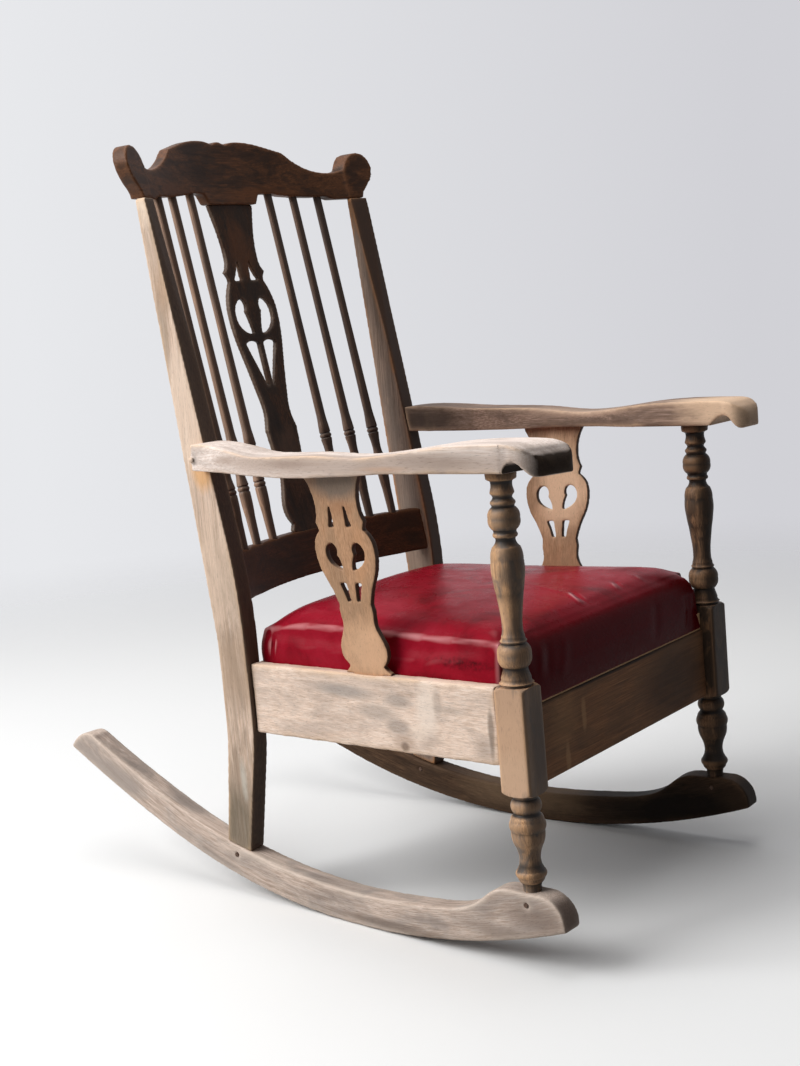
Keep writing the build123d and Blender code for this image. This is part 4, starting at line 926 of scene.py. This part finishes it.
def leathercloth(name, look):
    material, tree, shader, surface = newMaterial(name)
    position = surface["Object"]
    relief = addNode(tree, "Attribute", attribute_name="relief").outputs["Fac"]
    mottle, scuff, speck, wrinkle = [
        noiseAt(position, *look[kind]) for kind in ("mottle", "scuff", "speck", "wrinkle")
    ]
    color = stops(mottle, (0.3, look["deep"]), (0.5, look["red"]), (0.75, look["worn"]))
    scuffed = times(stops(scuff, (0.55, 0.0), (0.75, 1.0)), look["scuffed"])
    color = mixColor(scuffed, color, look["deep"])
    for centre, size, amount in look["dirtAndShadeMarks"]:
        patch = patchAt(position, centre, size, scuff)
        darkening = times(patch, stops(speck, (0.40, 0.25), (0.60, 1.0)))
        color = mixColor(times(darkening, amount), color, look["dirtAndShade"])
    # painted shade on the faces turned to the front, then a painted highlight along raised edges, kept off that
    # front
    facing = vectors("DOT_PRODUCT", surface["Normal"], chairFront)
    color = mixColor(stops(facing, (0.15, 0.0), (0.75, 0.97)), color, look["front"])
    rubAndSheenMask = stops(relief, (0.12, 0.0), (0.75, 0.85))
    rubAndSheenMask = times(rubAndSheenMask, stops(facing, (0.2, 1.0), (0.7, 0.12)))
    color = mixColor(rubAndSheenMask, color, look["rubAndSheen"])
    feed(shader, "Base Color", color)
    feed(shader, "IOR", look["ior"])
    feed(shader, "Specular IOR Level", look["specular"])
    low, high = look["rough"]
    feed(shader, "Roughness", stops(scuff, (0.3, low), (0.7, high)))
    cells = addNode(tree, "TexVoronoi", {"Vector": position}, feature="F1", Scale=1 / look["pebble"])
    bumpOn(shader, (cells.outputs["Distance"], *look["pebbleBump"]), (wrinkle, *look["wrinkleBump"]))
    return material


leather = leathercloth("glossy red leathercloth", leatherLook)
finishPiece(pad, leather, "seat", "red_leather", "seat_cover", "seat_stuffing")
print("seat covered:", len(mesh.vertices), "points")


# hidden and small parts keep the meshes of their solids; sizes, pitches and depths in metres
# raw softwood and end grain: dull, with dark fibres and soft blotches
def fibrous(name, light, dark, sizes, rough):
    material, tree, shader, surface = newMaterial(name)
    position = surface["Object"]
    fibre = noiseAt(position, sizes, 5, 0.65, 0.2)
    blotch = noiseAt(position, 0.07, 4, 0.6)
    color = stops(fibre, (0.32, dark), (0.66, light))
    color = mixColor(times(blotch, 0.5), color, dark)
    feed(shader, "Base Color", color)
    feed(shader, "Roughness", rough)
    bumpOn(shader, (fibre, 0.4, 0.0006))
    return material


# plain weave: light crossings over dark gaps, with thicker threads here and there
def woven(name, light, dark, pitch, rough, depth):
    material, tree, shader, surface = newMaterial(name)
    position = surface["Object"]
    parts = addNode(tree, "SeparateXYZ", {"Vector": position})
    weave = times(*[maths("SINE", times(parts.outputs[axis], 2 * math.pi / pitch)) for axis in "XY"])
    height = maths("MULTIPLY_ADD", weave, 0.5, maths("ABSOLUTE", weave))
    slub = noiseAt(position, (0.0025, 0.033, 0.0025), 4, 0.6)
    tone = maths("MULTIPLY_ADD", height, 0.5, times(slub, 0.6))
    feed(shader, "Base Color", stops(tone, (0.2, dark), (0.8, light)))
    feed(shader, "Roughness", rough)
    bumpOn(shader, (height, 0.5, depth))
    return material


# dark steel that has gone brown in spots
def oldMetal(name, light, dark, rust, rough):
    material, tree, shader, surface = newMaterial(name)
    position = surface["Object"]
    stain = noiseAt(position, 0.0033, 5, 0.65)
    bloom = stops(noiseAt(position, 0.008, 4, 0.7), (0.5, 0.0), (0.68, 1.0))
    color = mixColor(bloom, stops(stain, (0.35, dark), (0.6, light)), rust)
    feed(shader, "Base Color", color)
    feed(shader, "Metallic", maths("MULTIPLY_ADD", bloom, -1.0, 1.0, clamp=True))
    feed(shader, "Roughness", stops(stain, (0.3, rough), (0.7, rough + 0.2)))
    bumpOn(shader, (stain, 0.3, 0.0002))
    return material


endGrain = fibrous("dark end grain of dowels", "#6f4e38", "#2d1d14", 0.0011, 0.6)
softwood = fibrous("bare softwood of the seat frame", "#caa67c", "#8c6843", (0.0024, 0.045, 0.0024), 0.7)
cornerWood = fibrous("rough softwood of the corner blocks", "#b8936a", "#77563a", (0.0026, 0.0026, 0.038), 0.75)
smallParts = {
    "rail_dowels": endGrain,
    "tenon_pegs": endGrain,
    "arm_screws": oldMetal("blued screw steel", "#6b6a6c", "#343236", "#4d2c1c", 0.35),
    "cleat_screws": oldMetal("plain screw steel", "#8a8784", "#4a4644", "#5e3a24", 0.38),
    "seat_tacks": oldMetal("cut tack steel", "#5a5a60", "#2b2b30", "#4b2c1e", 0.45),
    "seat_cleats": softwood,
    "corner_braces": cornerWood,
    "seat_frame": softwood,
    "seat_webbing": woven("jute webbing", "#b59a72", "#6f5a3d", 0.0032, 0.9, 0.0008),
    "seat_burlap": woven("loose burlap", "#a98d63", "#5d4a30", 0.0026, 0.92, 0.0009),
    "seat_dust_cloth": woven("black cambric dust cloth", "#2c2b2d", "#141315", 0.0016, 0.85, 0.0003),
}
for name, material in smallParts.items():
    nodes[name].data.materials.clear()
    nodes[name].data.materials.append(material)
print("small parts dressed:", len(smallParts))


# floor, light and camera
stageLook = {
    "floor": "#ebebea", "floorForBounce": "#a5a4a2", "floorShape": (96, 4), "floorRough": 0.7,
    "fade": (1.3, 3.4),  # metres from the chair over which the floor passes into the wall
    "walls": ("#e8e9ec", "#d1d1d6"),
    "wallAcross": (0.61, -0.79, 0.0),  # the wall gets darker this way, away from the window
    "wallTurn": 0.22,
    "fill": (0.12, 0.5),  # world light from the room's dark side and from the wall
    "wallSide": (0.45, 0.85, 0.3), "fillTurn": (-0.4, 0.9),
    "lamps": {  # place, target, width and height in metres, power
        "window": ((-3.2, 2.36, 3.15), (0, 0, 0.5), (3.0, 3.0), 247.0),
        "ceiling": ((-0.3, 0.3, 3.4), (0, 0, 0.4), (2.6, 2.6), 55.0),
    },
}


def seenStraight(tree):
    path = addNode(tree, "LightPath").outputs
    seen = maths("MAXIMUM", path["Is Camera Ray"], path["Is Glossy Ray"])
    return maths("MAXIMUM", seen, path["Is Transmission Ray"])


def ranged(source, start, end, low=0.0, high=1.0, kind="SMOOTHSTEP"):
    limits = {"From Min": start, "From Max": end, "To Min": low, "To Max": high}
    node = addNode(source.id_data, "MapRange", {"Value": source}, interpolation_type=kind, **limits)
    return node.outputs["Result"]


sides, radius = stageLook["floorShape"]
bpy.ops.mesh.primitive_circle_add(vertices=sides, radius=radius, fill_type="NGON")
floor = bpy.context.object
floor.name = "studioFloor"
material, tree, shader, surface = newMaterial("pale studio floor")
feed(shader, "Base Color", mixColor(seenStraight(tree), stageLook["floorForBounce"], stageLook["floor"]))
feed(shader, "Roughness", stageLook["floorRough"])
away = vectors("LENGTH", surface["Object"])
gone = ranged(away, *stageLook["fade"])
clear = addNode(tree, "BsdfTransparent")
mixed = addNode(tree, "MixShader", {0: gone, 1: shader.outputs[0], 2: clear.outputs[0]})
feed(tree.nodes["Material Output"], "Surface", mixed.outputs[0])
floor.data.materials.append(material)

world = scene.world or bpy.data.worlds.new("studio")
scene.world = world
world.use_nodes = True
tree = world.node_tree
background = tree.nodes["Background"]
way = addNode(tree, "TexCoord").outputs["Generated"]
wallSide = tuple(Vector(stageLook["wallSide"]).normalized())
fill = ranged(vectors("DOT_PRODUCT", way, wallSide), *stageLook["fillTurn"], *stageLook["fill"])
across = vectors("DOT_PRODUCT", way, stageLook["wallAcross"])
shade = ranged(across, -stageLook["wallTurn"], stageLook["wallTurn"], kind="LINEAR")
feed(background, "Color", mixColor(shade, *stageLook["walls"]))
feed(background, "Strength", maths("MAXIMUM", fill, seenStraight(tree)))

for name, (place, target, size, power) in stageLook["lamps"].items():
    light = bpy.data.lights.new(name, "AREA")
    light.shape = "RECTANGLE"
    light.size, light.size_y = size
    light.energy = power
    lamp = placeObject(name, light)
    lamp.location = place
    lamp.rotation_euler = (Vector(target) - Vector(place)).to_track_quat("-Z", "Y").to_euler()
print("lamps set:", len(stageLook["lamps"]))

cameraLook = {
    "place": (-1855.07, -1081.22, 508.94),  # drawing millimetres
    "turn": (0.90972, 0.14074, -0.086896),  # yaw, pitch and roll in radians
    "focal": 1594.82 / 1066,  # as a share of the picture's height
    "sensor": 36,
}
yaw, pitch, roll = cameraLook["turn"]
forward = Vector((math.sin(yaw) * math.cos(pitch), math.cos(yaw) * math.cos(pitch), -math.sin(pitch)))
side = Vector((math.cos(yaw), -math.sin(yaw), 0.0))
upward = side.cross(forward)
rightward = side * math.cos(roll) + upward * math.sin(roll)
upward = upward * math.cos(roll) - side * math.sin(roll)
turn = Matrix((rightward, upward, -forward)).transposed().to_4x4()
cameraData = bpy.data.cameras.new("photographer")
cameraData.sensor_fit = "VERTICAL"
cameraData.sensor_height = cameraLook["sensor"]
cameraData.lens = cameraLook["focal"] * cameraLook["sensor"]
camera = placeObject("photographer", cameraData)
camera.matrix_world = (toRow @ Matrix.Translation(cameraLook["place"])).normalized() @ turn
scene.camera = camera
scene.view_settings.view_transform = "Standard"
